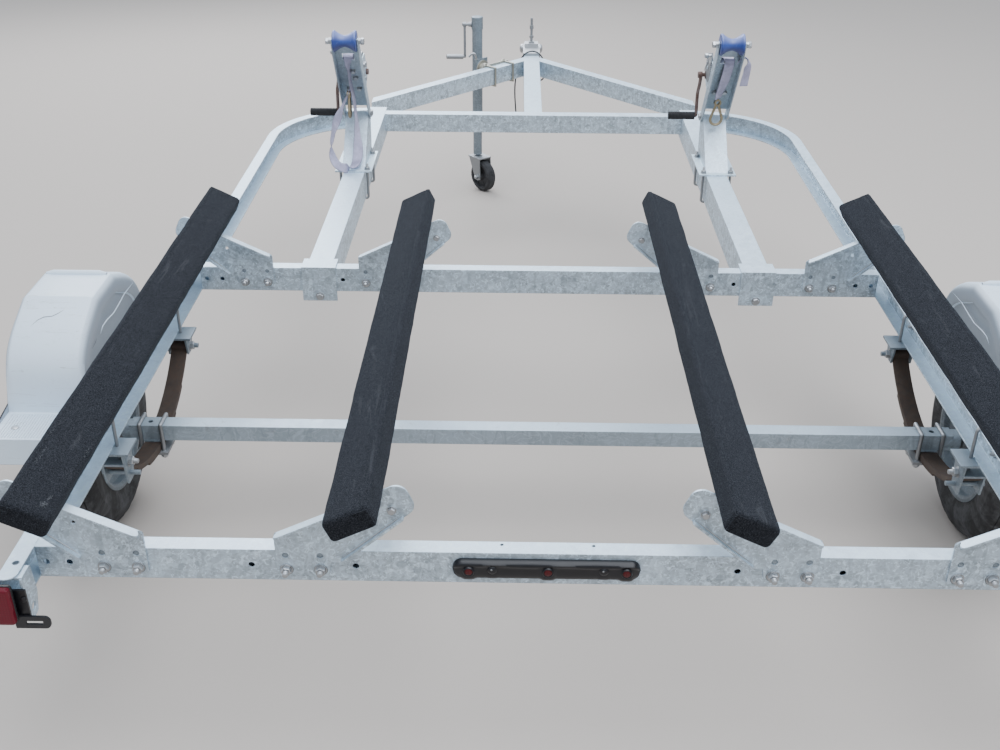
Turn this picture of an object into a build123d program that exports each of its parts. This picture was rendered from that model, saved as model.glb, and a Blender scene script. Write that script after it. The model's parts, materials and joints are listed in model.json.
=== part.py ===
from build123d import *
import math
import os

os.makedirs("parts", exist_ok=True)

# Everything is drawn in the frame's own axes in millimetres: X to the right as
# seen from behind, Y forward to the coupler from the rear face of the rear
# crossmember, Z up from the top face of the rails. place() then tips it nose
# up onto its wheels and its jack, and moves it to the middle of its footprint.

TILT = 3.7                    # nose up, standing on the jack

# ---- frame
RAIL_OUT = 1078.0             # outer face of a side rail
RAIL_W = 38.0                 # flange width
RAIL_H = 76.0
RAIL_T = 3.5
RAIL_REAR = -105.0
BEND_R = 400.0                # outer radius of the rail's front bend
BEND_Y = 2679.0
CROSS_W = 38.0
CROSS_T = 3.0
CROSS_END = RAIL_OUT - RAIL_W
MID_Y = 1380.0
LONG_X = 674.0                # centre of a longitudinal tube
LONG_W = 76.0
LONG_H = 101.6
LONG_FRONT = 3088.0
FRONT_Y = 2986.0
FRONT_W = 50.8
TONGUE_W = 76.2
TONGUE_END = 4100.0
BRACE_W = 50.8
BRACE_A = (-700.0, 3207.0)    # centre line of the left brace
BRACE_B = (-45.0, 3927.0)

# ---- axle, springs, wheels
AXLE_Y = 772.0
AXLE_Z = -203.0
AXLE_SQ = 45.0
SPRING_X = 1040.0
SPRING_W = 44.5
SPRING_EYE = (1088.0, -116.0)
SPRING_END = (468.0, -122.0)
LEAF_T = 7.0
PAD_T = 5.0                   # spring seat under the axle
WHEEL_X = 1191.0
TYRE_R = 266.0
TYRE_W = 122.0
RIM_R = 165.0

# ---- bunks
BUNK_W, BUNK_T = 101.0, 50.0
BUNK_Y0, BUNK_Y1 = -126.0, 1550.0
SLOPE = 25.64                 # of a bracket's top flange, degrees
BRK_Z0 = 47.0                 # height of the flange's low end
BUNK_S = 140.0                # from the bracket's near edge to the bunk's low edge
NEAR_OUT, NEAR_IN = 812.0, 549.0

# ---- bow stands
STAND_X = 677.0
LEG_W, ARM_W = 84.0, 96.0
FOOT = (2268.0, 6.0)
KNEE = (2446.0, 172.0)
ROLL = (2230.0, 487.0)
ROLL_R, ROLL_L = 38.0, 84.0
PLATE_W = 136.0               # base plate on the longitudinal
U_HALF = 50.0                 # from the stand's middle to a leg of its U-bolts
STAND_U = (-2.0, 182.0)       # U-bolts along the base plate, from the foot
DRUM = (2405.7, 362.1)
PINION = (2453.7, 322.1)

# ---- jack
JACK_X, JACK_Y = -270.1, 3917.0
JACK_R, JACK_RI, JACK_IN = 25.4, 22.6, 22.2
CASTER_R, CASTER_TRAIL, CASTER_TURN = 80.0, 45.0, 40.0


def box(x0, x1, y0, y1, z0, z1):
    return Pos((x0 + x1) / 2, (y0 + y1) / 2, (z0 + z1) / 2) * Box(
        abs(x1 - x0), abs(y1 - y0), abs(z1 - z0)
    )


def cyl(a, b, r):
    """A round bar between two points."""
    a, b = Vector(*a), Vector(*b)
    return Plane(origin=a, z_dir=b - a) * Pos(0, 0, (b - a).length / 2) * Cylinder(
        r, (b - a).length
    )


def prism_yz(points, x0, x1):
    """A side-view outline (Y, Z) pushed from x0 to x1."""
    face = make_face(Polyline(*[(x0, y, z) for y, z in points], close=True))
    return extrude(face, amount=x1 - x0, dir=(1, 0, 0))


def prism_xz(points, y0, y1):
    face = make_face(Polyline(*[(x, y0, z) for x, z in points], close=True))
    return extrude(face, amount=y1 - y0, dir=(0, 1, 0))


def prism_xy(points, z0, z1):
    face = make_face(Polyline(*[(x, y, z0) for x, y in points], close=True))
    return extrude(face, amount=z1 - z0, dir=(0, 0, 1))


def turned(profile, x_sign=1.0):
    """Turns an outline (X, radius) about the X axis through the wheel centre."""
    face = make_face(Polyline(*[(x, 0, r) for x, r in profile], close=True))
    return revolve(face, axis=Axis.X, revolution_arc=360)


def beam(a, b, w, h, t, z_top):
    """A rectangular tube between two plan points, top face at z_top."""
    ax, ay = a
    bx, by = b
    length = math.hypot(bx - ax, by - ay)
    solid = Box(length, w, h) - Box(length + 2, w - 2 * t, h - 2 * t)
    ang = math.degrees(math.atan2(by - ay, bx - ax))
    return Pos((ax + bx) / 2, (ay + by) / 2, z_top - h / 2) * Rot(0, 0, ang) * solid


def mirrored(s):
    return mirror(s, about=Plane.YZ)


def one(s):
    """The largest solid of a result, as a plain solid."""
    found = s.solids()
    return max(found, key=lambda v: v.volume) if found else s


# ------------------------------------------------------------------ frame
def rail():
    """Right-hand side rail: a channel open inwards, bent in at the front."""
    x1 = RAIL_OUT
    x0 = x1 - RAIL_W
    body = box(x1 - RAIL_T, x1, RAIL_REAR, BEND_Y, -RAIL_H, 0)
    top = box(x0, x1, RAIL_REAR, BEND_Y, -RAIL_T, 0)
    corner = top.edges().filter_by(Axis.Z).sort_by(Axis.X)[:2].sort_by(Axis.Y)[0]
    top = fillet(corner, 22)
    bottom = box(x0, x1, RAIL_REAR, BEND_Y, -RAIL_H, -RAIL_H + RAIL_T)
    s = body + top + bottom
    cx = x1 - BEND_R
    prof = [
        (x0, 0), (x1, 0), (x1, -RAIL_H), (x0, -RAIL_H), (x0, -RAIL_H + RAIL_T),
        (x1 - RAIL_T, -RAIL_H + RAIL_T), (x1 - RAIL_T, -RAIL_T), (x0, -RAIL_T),
    ]
    face = make_face(Polyline(*[(x, BEND_Y, z) for x, z in prof], close=True))
    bend = revolve(face, axis=Axis((cx, BEND_Y, 0), (0, 0, 1)), revolution_arc=90)
    bend -= box(cx - 200, LONG_X + LONG_W / 2, BEND_Y - 10, BEND_Y + 600, -120, 20)
    s += bend
    s -= Pos(x0 + 17, -52, 0) * Cylinder(7, 20)            # spare hole in the flange
    s -= Pos(x1, 190, -38) * Rot(0, 90, 0) * Cylinder(14, 20)  # wiring hole in the web
    return one(s)


def crossmember(y, holes, top=()):
    s = box(-CROSS_END, CROSS_END, y, y + CROSS_W, -RAIL_H, 0)
    s -= box(-CROSS_END - 1, CROSS_END + 1, y + CROSS_T, y + CROSS_W - CROSS_T,
             -RAIL_H + CROSS_T, -CROSS_T)
    for x in holes:
        for k in (-1, 1):
            s -= Pos(k * x, y, -38) * Rot(90, 0, 0) * Cylinder(6.5, 10)
    for x in top:
        s -= Pos(x, y + 28, 0) * Cylinder(3.5, 10)
    return one(s)


def front_crossmember():
    x = LONG_X - LONG_W / 2
    s = box(-x, x, FRONT_Y, FRONT_Y + FRONT_W, -RAIL_H, 0)
    s -= box(-x - 1, x + 1, FRONT_Y + 3, FRONT_Y + FRONT_W - 3, -RAIL_H + 3, -3)
    return one(s)


def longitudinal():
    x0, x1 = LONG_X - LONG_W / 2, LONG_X + LONG_W / 2
    y0, y1 = MID_Y + CROSS_W, LONG_FRONT
    s = box(x0, x1, y0, y1, -LONG_H, 0) - box(x0 + 3, x1 - 3, y0 - 1, y1 - 3,
                                              -LONG_H + 3, -3)
    return one(s)


def tongue_tube():
    w = TONGUE_W / 2
    y0, y1 = FRONT_Y + FRONT_W, TONGUE_END
    s = box(-w, w, y0, y1, -RAIL_H, 0) - box(-w + 3, w - 3, y0 - 1, y1 + 1,
                                             -RAIL_H + 3, -3)
    s -= cyl((*LEAD_HOLE, -RAIL_H - 5), (*LEAD_HOLE, -RAIL_H + 8), 9)
    return one(s)


def brace_left():
    """Left half of the A-frame, cut to the tongue tube and the longitudinal."""
    (ax, ay), (bx, by) = BRACE_A, BRACE_B
    k = 0.12
    a = (ax - k * (bx - ax), ay - k * (by - ay))
    b = (bx + k * (bx - ax), by + k * (by - ay))
    s = beam(a, b, BRACE_W, RAIL_H, 3.0, 0.0)
    s -= box(-TONGUE_W / 2, 400, 2800, 4600, -200, 100)
    s -= box(-1500, -300, 2400, LONG_FRONT, -200, 100)
    s -= box(-1500, -(LONG_X + LONG_W / 2), 2400, 4000, -200, 100)
    return one(s)


def saddle():
    x0, x1 = LONG_X - 53, LONG_X + 53
    s = box(x0, x1, MID_Y - 5, MID_Y, -107, 5) + box(x0, x1, MID_Y - 5, MID_Y + 62, 0, 5)
    s -= Pos(LONG_X, MID_Y - 2.5, -91) * Rot(90, 0, 0) * Cylinder(6.5, 20)
    return one(s)


def coupler():
    """Pressed coupler: sleeve over the tube end, drawn-in nose and ball socket."""
    w = TONGUE_W / 2 + 4
    y0, y1 = TONGUE_END - 95, TONGUE_END + 70
    s = box(-w, w, y0, y1, -RAIL_H + 8, 12)
    s += box(-w + 8, w - 8, y1 - 60, y1, 8, 34)
    s -= box(-w + 4, w - 4, y0 - 1, y1 - 30, -RAIL_H - 5, 0)
    s -= box(-w + 6, w - 6, y0 - 1, y1 + 60, -RAIL_H - 5, -14)
    ball = Pos(0, TONGUE_END + 150, -40) * Sphere(37)
    neck = prism_xy([(-w, y1), (w, y1), (34, y1 + 80), (-34, y1 + 80)], -46, 12)
    neck -= prism_xy([(-w + 7, y1 - 5), (w - 7, y1 - 5), (28, y1 + 90), (-28, y1 + 90)],
                     -60, -14)
    s += neck
    s += ball
    s -= Pos(0, TONGUE_END + 150, -40) * Sphere(26.2)
    s -= Pos(0, TONGUE_END + 150, -80) * Cylinder(26.2, 80)
    s -= box(-60, 60, TONGUE_END, TONGUE_END + 300, -120, -52)
    return s


def coupler_latch():
    y = TONGUE_END + 78
    s = box(-14, 14, y - 58, y - 10, 34, 41)
    s += cyl((0, y - 41, 36), (0, y - 41, 158), 6.5)
    s += cyl((0, y - 41, 60), (0, y - 41, 70), 11)
    s += cyl((0, y - 41, 104), (0, y - 41, 122), 10)
    return one(s)


# ------------------------------------------------------- axle and springs
def axle():
    h = AXLE_SQ / 2
    x = 1098.0
    s = box(-x, x, AXLE_Y - h, AXLE_Y + h, AXLE_Z - h, AXLE_Z + h)
    s -= box(-x - 1, x + 1, AXLE_Y - h + 4, AXLE_Y + h - 4, AXLE_Z - h + 4, AXLE_Z + h - 4)
    for k in (-1, 1):
        s -= Pos(k * (SPRING_X + 6), AXLE_Y, AXLE_Z + h) * Cylinder(6.5, 12)
        s += box(k * (SPRING_X - 22), k * (SPRING_X + 22), AXLE_Y - 24, AXLE_Y + 24,
                 AXLE_Z - h - PAD_T, AXLE_Z - h)          # spring seat
        s += cyl((k * (x - 22), AXLE_Y, AXLE_Z), (k * (x + 22), AXLE_Y, AXLE_Z), 26)
        s += cyl((k * x, AXLE_Y, AXLE_Z), (k * (WHEEL_X + 26), AXLE_Y, AXLE_Z), 13.5)
    return one(s)


def arc3(p, q, r):
    """Centre and radius of the circle through three (Y, Z) points."""
    ax, ay, bx, by, cx, cy = *p, *q, *r
    d = 2 * (ax * (by - cy) + bx * (cy - ay) + cx * (ay - by))
    ux = ((ax**2 + ay**2) * (by - cy) + (bx**2 + by**2) * (cy - ay)
          + (cx**2 + cy**2) * (ay - by)) / d
    uy = ((ax**2 + ay**2) * (cx - bx) + (bx**2 + by**2) * (ax - cx)
          + (cx**2 + cy**2) * (bx - ax)) / d
    return (ux, uy), math.hypot(ax - ux, ay - uy)


LEAF_MID = (AXLE_Y, AXLE_Z - AXLE_SQ / 2 - PAD_T - 1.2 - LEAF_T / 2)
(LEAF_CY, LEAF_CZ), LEAF_R = arc3(SPRING_END, LEAF_MID, SPRING_EYE)


def leaf_z(y, out):
    """Height of the main leaf's centre line moved outward by out, at a Y position."""
    return LEAF_CZ - math.sqrt((LEAF_R + out) ** 2 - (y - LEAF_CY) ** 2)


# half length of each step of the pack under the axle, thickness outward from the middle
LEAF_STEPS = [(215.0, LEAF_T), (130.0, 2 * LEAF_T)]


def leaf_spring():
    """Main leaf with an eye at its front and two shorter leaves under it, as one pack."""
    x0 = SPRING_X - SPRING_W / 2
    h = LEAF_T / 2

    def at(y, out):
        return (x0, y, leaf_z(y, out))

    def arc(ya, yb, out):
        return ThreePointArc(at(ya, out), at((ya + yb) / 2, out), at(yb, out))

    # stations along the underside from the rear end to the front
    (h1, o1), (h2, o2) = LEAF_STEPS
    runs = [(SPRING_END[0], AXLE_Y - h1, h), (AXLE_Y - h1, AXLE_Y - h2, h + o1),
            (AXLE_Y - h2, AXLE_Y + h2, h + o2), (AXLE_Y + h2, AXLE_Y + h1, h + o1),
            (AXLE_Y + h1, SPRING_EYE[0] - 6, h)]
    edges = [arc(SPRING_END[0], SPRING_EYE[0] - 6, -h),
             Line(at(SPRING_END[0], -h), at(SPRING_END[0], h))]
    for i, (ya, yb, out) in enumerate(runs):
        edges.append(arc(ya, yb, out))
        nxt = runs[i + 1][2] if i + 1 < len(runs) else -h
        edges.append(Line(at(yb, out), at(yb, nxt)))
    s = extrude(make_face(Wire(edges)), amount=SPRING_W, dir=(1, 0, 0))
    ey, ez = SPRING_EYE
    s += cyl((x0, ey, ez), (x0 + SPRING_W, ey, ez), 16)
    s -= cyl((x0 - 10, ey, ez), (x0 + SPRING_W + 10, ey, ez), 7.05)
    return one(s)


def hanger(y, z_pin, pin_r):
    """Clamp-on spring hanger under a rail, with its cross bolt."""
    x0, x1 = SPRING_X - SPRING_W / 2 - 7, SPRING_X + SPRING_W / 2 + 7
    s = box(x0 - 14, RAIL_OUT + 16, y - 38, y + 38, -RAIL_H - 6, -RAIL_H)
    outline = [(y - 34, -RAIL_H), (y + 34, -RAIL_H), (y + 20, z_pin - 20), (y - 20, z_pin - 20)]
    s += prism_yz(outline, x0, x0 + 5) + prism_yz(outline, x1 - 5, x1)
    s += cyl((x0 - 24, y, z_pin), (x1 + 12, y, z_pin), pin_r)
    return one(s)


def slipper_hanger():
    """Rear hanger: its bolt keeps the plain end of the spring up against a cap."""
    y = SPRING_END[0] + 22
    s = hanger(y, leaf_z(y, LEAF_T / 2 + 6.1), 6.0)
    z = leaf_z(SPRING_END[0], -LEAF_T / 2)
    x0, x1 = SPRING_X - SPRING_W / 2 - 7, SPRING_X + SPRING_W / 2 + 7
    s += box(x0, x1, y - 30, y + 22, z, z + 6)
    return one(s)


def axle_clamp():
    """Tie plate under the spring and two square U-bolts over the axle."""
    h = AXLE_SQ / 2
    r = 5.5
    zt = AXLE_Z + h + r
    zb = AXLE_Z - h - PAD_T - 1.2 - 3 * LEAF_T - 8
    s = None
    for k in (-1, 1):
        x = SPRING_X + k * (SPRING_W / 2 + r + 1)
        u = cyl((x, AXLE_Y - h - r, zb - 14), (x, AXLE_Y - h - r, zt), r)
        u += cyl((x, AXLE_Y + h + r, zb - 14), (x, AXLE_Y + h + r, zt), r)
        u += cyl((x, AXLE_Y - h - r, zt), (x, AXLE_Y + h + r, zt), r)
        u += Pos(x, AXLE_Y - h - r, zt) * Sphere(r)
        u += Pos(x, AXLE_Y + h + r, zt) * Sphere(r)
        s = u if s is None else s + u
    s += box(SPRING_X - 42, SPRING_X + 42, AXLE_Y - 42, AXLE_Y + 42, zb, zb + 8)
    return one(s)


# ---------------------------------------------------------------- wheels
def tyre(side):
    w, r = TYRE_W / 2, TYRE_R
    outer = [(-w + 10, 158), (-w + 3, 178), (-w, 205), (-w + 2, 232), (-w + 9, 251),
             (-w + 20, r - 4), (-w + 34, r), (w - 34, r), (w - 20, r - 4), (w - 9, 251),
             (w - 2, 232), (w, 205), (w - 3, 178), (w - 10, 158)]
    inner = [(w - 20, 158), (w - 11, 180), (w - 9, 205), (w - 12, 230), (w - 24, 248),
             (-w + 24, 248), (-w + 12, 230), (-w + 9, 205), (-w + 11, 180), (-w + 20, 158)]
    return Pos(side * WHEEL_X, AXLE_Y, AXLE_Z) * turned(outer + inner)


def rim(side):
    w = 52.0
    barrel = [(-w - 6, 168), (-w - 6, 160), (-w - 1, 152), (-w + 14, 149), (-w + 26, 130),
              (18, 130), (30, 149), (w + 1, 152), (w + 6, 160), (w + 6, 168),
              (w + 2.5, 168), (w + 2.5, 161.5), (w - 1, 155.5), (28, 153), (15, 134),
              (-w + 28, 134), (-w + 16, 153), (-w + 1, 155.5), (-w - 2.5, 161.5),
              (-w - 2.5, 168)]
    disc = [(4, 30), (8, 30), (8, 82), (16, 100), (16, 132), (12, 132), (12, 101), (4, 84)]
    s = turned(barrel) + turned(disc)
    for i in range(5):
        a = math.radians(72 * i)
        s -= Pos(6, 57.15 * math.cos(a), 57.15 * math.sin(a)) * Rot(0, 90, 0) * Cylinder(6.1, 8)
    for i in range(5):
        a = math.radians(72 * i + 36)
        s -= Pos(12, 114 * math.cos(a), 114 * math.sin(a)) * Rot(0, 90, 0) * Cylinder(11, 40)
    if side < 0:
        s = mirrored(s)
    return Pos(side * WHEEL_X, AXLE_Y, AXLE_Z) * one(s)


def hub(side):
    prof = [(-66, 13.55), (-66, 31), (-8, 33), (-8, 70), (4, 70), (4, 29.9), (20, 29.9),
            (22, 25), (44, 24), (50, 18), (50, 0), (46, 0), (46, 13.55)]
    s = turned(prof)
    for i in range(5):
        a = math.radians(72 * i)
        c = (57.15 * math.cos(a), 57.15 * math.sin(a))
        s += cyl((4, *c), (12, *c), 6)
        s += cyl((8, *c), (22, *c), 9.5)
    if side < 0:
        s = mirrored(s)
    return Pos(side * WHEEL_X, AXLE_Y, AXLE_Z) * one(s)


# --------------------------------------------------------------- fenders
FEN_X0, FEN_X1 = 1100.0, 1295.0
FEN_C = AXLE_Y + 5
ARCH = [(-259, 0), (-237, 110), (-179, 172), (-72, 222), (72, 222), (179, 172), (237, 110),
        (259, 0)]


def fender_block(t, inset):
    """The fender's outline in side view, t inside the skin, inset at its bevels."""
    pts = [(FEN_C - 382 + t, -70 - t), (FEN_C - 382 + t, -t)]
    for y, z in ARCH:
        s = 1 if y > 0 else -1
        d = t + (inset if z > 0 else 0)
        f = 1.0 if z == 0 else (0.8 if z < 150 else 0.35)
        g = 0.0 if z == 0 else (0.45 if z < 150 else (0.95 if z < 200 else 1.0))
        base = t if z == 0 else 0
        pts.append((FEN_C + y - s * (d * f if z else t), z - d * g - base))
    pts += [(FEN_C + 382 - t, -t), (FEN_C + 382 - t, -70 - t)]
    return pts


def loft_yz(pa, xa, pb, xb):
    fa = make_face(Polyline(*[(xa, y, z) for y, z in pa], close=True))
    fb = make_face(Polyline(*[(xb, y, z) for y, z in pb], close=True))
    return loft([fa, fb], ruled=True)


def fender():
    bevel, t = 26.0, 3.5
    out = prism_yz(fender_block(0, 0), FEN_X0 + bevel, FEN_X1 - bevel)
    out += loft_yz(fender_block(0, bevel), FEN_X0, fender_block(0, 0), FEN_X0 + bevel)
    out += loft_yz(fender_block(0, 0), FEN_X1 - bevel, fender_block(0, bevel), FEN_X1)
    cav = prism_yz(fender_block(t, 0), FEN_X0 + bevel, FEN_X1 - bevel)
    cav += loft_yz(fender_block(t, bevel), FEN_X0 + t, fender_block(t, 0), FEN_X0 + bevel)
    cav += loft_yz(fender_block(t, 0), FEN_X1 - bevel, fender_block(t, bevel), FEN_X1 - t)
    s = out - cav
    s -= cyl((FEN_X0 + 14, AXLE_Y, AXLE_Z), (FEN_X1 + 5, AXLE_Y, AXLE_Z), 312)
    for k in (-1, 1):
        y = FEN_C + k * 330
        s -= box(FEN_X0 - 5, FEN_X0 + 20, y - 21, y + 21, -9.5, -3.5)
    return one(s)


def fender_bracket(k):
    y = FEN_C + k * 330
    s = box(RAIL_OUT, FEN_X1 - 12, y - 20, y + 20, -9, -4)
    s += box(RAIL_OUT, RAIL_OUT + 5, y - 20, y + 20, -62, -4)
    return one(s)


# ----------------------------------------------------- bunks and brackets
def bracket(near, way, y):
    """Pressed bunk bracket on the rear face of a crossmember; way is the side it rises to."""
    t = 5.0
    pts = [(0, -62), (0, BRK_Z0), (262, BRK_Z0 + 262 * math.tan(math.radians(SLOPE))),
           (290, 112), (130, -26), (112, -26), (106, -62)]
    s = prism_xz(pts, y - t, y)
    ed = s.edges().filter_by(Axis.Y)
    def pick(px, pz):
        return min(ed, key=lambda e: math.hypot(e.center().X - px, e.center().Z - pz))
    s = fillet([pick(*pts[2]), pick(*pts[3])], 24)
    ed = s.edges().filter_by(Axis.Y)
    s = fillet([pick(0, -62), pick(106, -62)], 10)
    c, sn = math.cos(math.radians(SLOPE)), math.sin(math.radians(SLOPE))
    length = 236.0
    q = [(0, BRK_Z0), (length * c, BRK_Z0 + length * sn),
         (length * c + t * sn, BRK_Z0 + length * sn - t * c), (t * sn, BRK_Z0 - t * c)]
    s += prism_xz(q, y - 28, y - t + 1)
    dx, dz = 290 - 130, 112 + 26
    ln = math.hypot(dx, dz)
    ux, uz = dx / ln, dz / ln
    a, b = 8.0, ln - 34
    q = [(130 + ux * a, -26 + uz * a), (130 + ux * b, -26 + uz * b),
         (130 + ux * b - uz * t, -26 + uz * b + ux * t),
         (130 + ux * a - uz * t, -26 + uz * a + ux * t)]
    s += prism_xz(q, y - 16, y - t + 1)
    for hs, hz in ((20, -9), (90, -9)):
        s -= Pos(hs, y, hz) * Rot(90, 0, 0) * Cylinder(6.5, 20)
    s -= Pos(240, y, 107) * Rot(90, 0, 0) * Cylinder(5.5, 20)
    s -= Pos(136, y, 66) * Rot(90, 0, 0) * Cylinder(5.5, 20)
    s = one(s)
    if way < 0:
        s = mirrored(s)
    return Pos(near, 0, 0) * s


def bunk(near, way):
    c, sn = math.cos(math.radians(SLOPE)), math.sin(math.radians(SLOPE))
    z = BRK_Z0 + BUNK_S * math.tan(math.radians(SLOPE))
    x = near + way * BUNK_S
    b = Box(BUNK_W, BUNK_Y1 - BUNK_Y0, BUNK_T)
    b = fillet(b.edges(), 5)
    b = Pos(BUNK_W / 2, (BUNK_Y0 + BUNK_Y1) / 2, BUNK_T / 2) * b
    b = Rot(0, -SLOPE, 0) * b
    if way < 0:
        b = mirrored(b)
    return one(Pos(x, 0, z) * b)


# ------------------------------------------------------------- bow stands
def unit(a, b):
    d = math.hypot(b[0] - a[0], b[1] - a[1])
    return (b[0] - a[0]) / d, (b[1] - a[1]) / d


def stand_leg():
    """Base plate on the longitudinal and the channel leaning forward from its rear end."""
    w = LEG_W / 2
    x = STAND_X
    s = box(x - PLATE_W / 2, x + PLATE_W / 2, FOOT[0] - 22, FOOT[0] + 212, 0, 6)
    for dy in STAND_U:
        for k in (-1, 1):
            s -= Pos(x + k * U_HALF, FOOT[0] + dy, 3) * Cylinder(6.0, 10)
    uy, uz = unit(FOOT, KNEE)
    ny, nz = -uz, uy            # out of the web's face, to the rear and up
    t = 4.0
    L = math.hypot(KNEE[0] - FOOT[0], KNEE[1] - FOOT[1])
    def p(along, out):
        return (FOOT[0] + uy * along + ny * out, FOOT[1] + uz * along + nz * out)
    s += prism_yz([p(0, 0), p(L, 0), p(L, -t), p(4, -t)], x - w, x + w)
    side = [p(0, 0), p(L, 0), (KNEE[0] + 62, KNEE[1] - 12), (FOOT[0] + 222, 5), (FOOT[0], 5)]
    s += prism_yz(side, x - w, x - w + t) + prism_yz(side, x + w - t, x + w)
    return one(s)


ARM_A = (-(KNEE[0] + 14 - ROLL[0]), ROLL[1] - KNEE[1] + 8)


def arm_frame():
    ky, kz = KNEE[0] + 14, KNEE[1] - 8
    uy, uz = unit((ky, kz), ROLL)
    ny, nz = uz, -uy            # forward and up, out of the back of the web
    def p(along, out):
        return (ky + uy * along + ny * out, kz + uz * along + nz * out)
    return p, math.hypot(ROLL[0] - ky, ROLL[1] - kz)


def stand_arm():
    """Channel leaning back from the knee, open to the rear, roller held at its top."""
    p, L = arm_frame()
    w, t, x = ARM_W / 2, 4.0, STAND_X
    s = prism_yz([p(30, 14), p(L - 44, 14), p(L - 44, 10), p(30, 10)], x - w, x + w)
    side = [p(-22, 14), p(L - 30, 14), p(L + 8, 8), p(L + 16, -8), p(L + 2, -18),
            p(L - 40, -30), p(40, -30), p(-22, -14)]
    s += prism_yz(side, x - w, x - w + t) + prism_yz(side, x + w - t, x + w)
    s -= cyl((x - 80, *ROLL), (x + 80, *ROLL), 6.5)
    s -= box(x - 22, x + 22, 2255, 2330, 402, 432)      # slot for the strap
    ky, kz = p(0, 0)
    s -= cyl((x - 80, ky, kz), (x + 80, ky, kz), 6.0)
    return one(s)


def roller_bolt():
    x = STAND_X
    s = cyl((x - ARM_W / 2 - 14, *ROLL), (x + ARM_W / 2 + 14, *ROLL), 6.4)
    s += cyl((x - ARM_W / 2 - 9, *ROLL), (x - ARM_W / 2 - 0.2, *ROLL), 11)
    s += cyl((x + ARM_W / 2 + 0.2, *ROLL), (x + ARM_W / 2 + 10, *ROLL), 11)
    return one(s)


def bow_roller():
    l, r = ROLL_L / 2, ROLL_R
    prof = [(-l, 6.45), (-l, r), (-l + 10, r - 1), (-8, 19), (8, 19), (l - 10, r - 1), (l, r),
            (l, 6.45)]
    return Pos(STAND_X, *ROLL) * turned(prof)


def winch_frame():
    """Two side plates and a back plate bolted to the front of the arm, pins for the gears."""
    p, L = arm_frame()
    x, t = STAND_X, 4.0
    s = prism_yz([p(112, 18), p(242, 18), p(242, 14), p(112, 14)], x - 40, x + 40)
    dy, dz = DRUM
    py, pz = PINION
    side = [p(112, 14), p(242, 14), p(236, 60), p(206, 110), p(120, 122), p(92, 92), p(96, 40)]
    s += prism_yz(side, x - 40, x - 36) + prism_yz(side, x + 36, x + 40)
    s += cyl((x - 50, dy, dz), (x + 44, dy, dz), 6)
    s += cyl((x - 40, py, pz), (x - 36, py, pz), 12) + cyl((x + 36, py, pz), (x + 40, py, pz), 12)
    s -= cyl((x - 60, py, pz), (x + 60, py, pz), 7.05)
    return one(s)


GEAR_N, PIN_N, MODULE = 46, 12, 2.155


def gear(n, m, cy, cz, x0, x1, phase):
    ro, ri = m * n / 2 + 0.75 * m, m * n / 2 - 1.05 * m
    pts = []
    for i in range(n):
        a = 2 * math.pi * (i + phase) / n
        h = 2 * math.pi / n
        for f, r in ((-0.32, ri), (-0.16, ro), (0.16, ro), (0.32, ri)):
            pts.append((cy + r * math.cos(a + f * h), cz + r * math.sin(a + f * h)))
    return prism_yz(pts, x0, x1)


def winch_drum():
    """Drum with its flanges, the strap wound on it and the large gear outside the frame."""
    x = STAND_X
    dy, dz = DRUM
    s = cyl((x - 35.5, dy, dz), (x + 35.5, dy, dz), 16)
    s += cyl((x - 35.5, dy, dz), (x - 32.5, dy, dz), 45)
    s += cyl((x + 32.5, dy, dz), (x + 35.5, dy, dz), 45)
    s += cyl((x - 27, dy, dz), (x + 27, dy, dz), 36)
    s -= cyl((x - 60, dy, dz), (x + 60, dy, dz), 6.05)
    return one(s)


MESH_A = math.atan2(PINION[1] - DRUM[1], PINION[0] - DRUM[0])


def winch_gear():
    x = STAND_X - 40
    dy, dz = DRUM
    ph = MESH_A / (2 * math.pi / GEAR_N)
    g = gear(GEAR_N, MODULE, dy, dz, x - 7.5, x - 1.5, ph)
    g += cyl((x - 9, dy, dz), (x - 0.8, dy, dz), 14)
    g -= cyl((x - 20, dy, dz), (x + 20, dy, dz), 6.05)
    return one(g)


def winch_crank():
    x = STAND_X - 40
    py, pz = PINION
    ph = (MESH_A + math.pi) / (2 * math.pi / PIN_N) + 0.5
    s = gear(PIN_N, MODULE, py, pz, x - 8, x - 1, ph)
    s += cyl((x - 30, py, pz), (STAND_X + 46, py, pz), 7.0)
    s += cyl((STAND_X + 40.5, py, pz), (STAND_X + 50, py, pz), 11)
    ey, ez = py - 18, pz - 150
    s += cyl((x - 26, py, pz), (x - 26, ey, ez), 6.5)
    s += cyl((x - 34, py, pz), (x - 18, py, pz), 12)
    s += cyl((x - 26, ey, ez), (x - 140, ey, ez), 6.5)
    return one(s)


def winch_grip():
    x = STAND_X - 40
    py, pz = PINION
    ey, ez = py - 18, pz - 150
    s = cyl((x - 36, ey, ez), (x - 136, ey, ez), 13.5)
    s -= cyl((x - 20, ey, ez), (x - 150, ey, ez), 6.6)
    s += cyl((x - 133, ey, ez), (x - 136, ey, ez), 13.4) - cyl((x - 20, ey, ez), (x - 150, ey, ez), 6.6)
    return one(s)


# ------------------------------------------------------------------- jack
BR_LEN = math.hypot(BRACE_B[0] - BRACE_A[0], BRACE_B[1] - BRACE_A[1])
BR_U = ((BRACE_B[0] - BRACE_A[0]) / BR_LEN, (BRACE_B[1] - BRACE_A[1]) / BR_LEN)
BR_N = (-BR_U[1], BR_U[0])     # outward and forward from the left brace
_v = (JACK_X - BRACE_A[0], JACK_Y - BRACE_A[1])
JACK_S = _v[0] * BR_U[0] + _v[1] * BR_U[1]
JACK_D = _v[0] * BR_N[0] + _v[1] * BR_N[1]
PIVOT_Z = -38.0
JACK_TOP, JACK_LOW = 208.0, -327.0
CRANK_Z = JACK_TOP - 36         # crank shaft
JACK_U = (745.0, 871.0)       # U-bolts of the mount, along the brace
STUB = 100.0                  # length of the swivel's fixed stub


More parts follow.
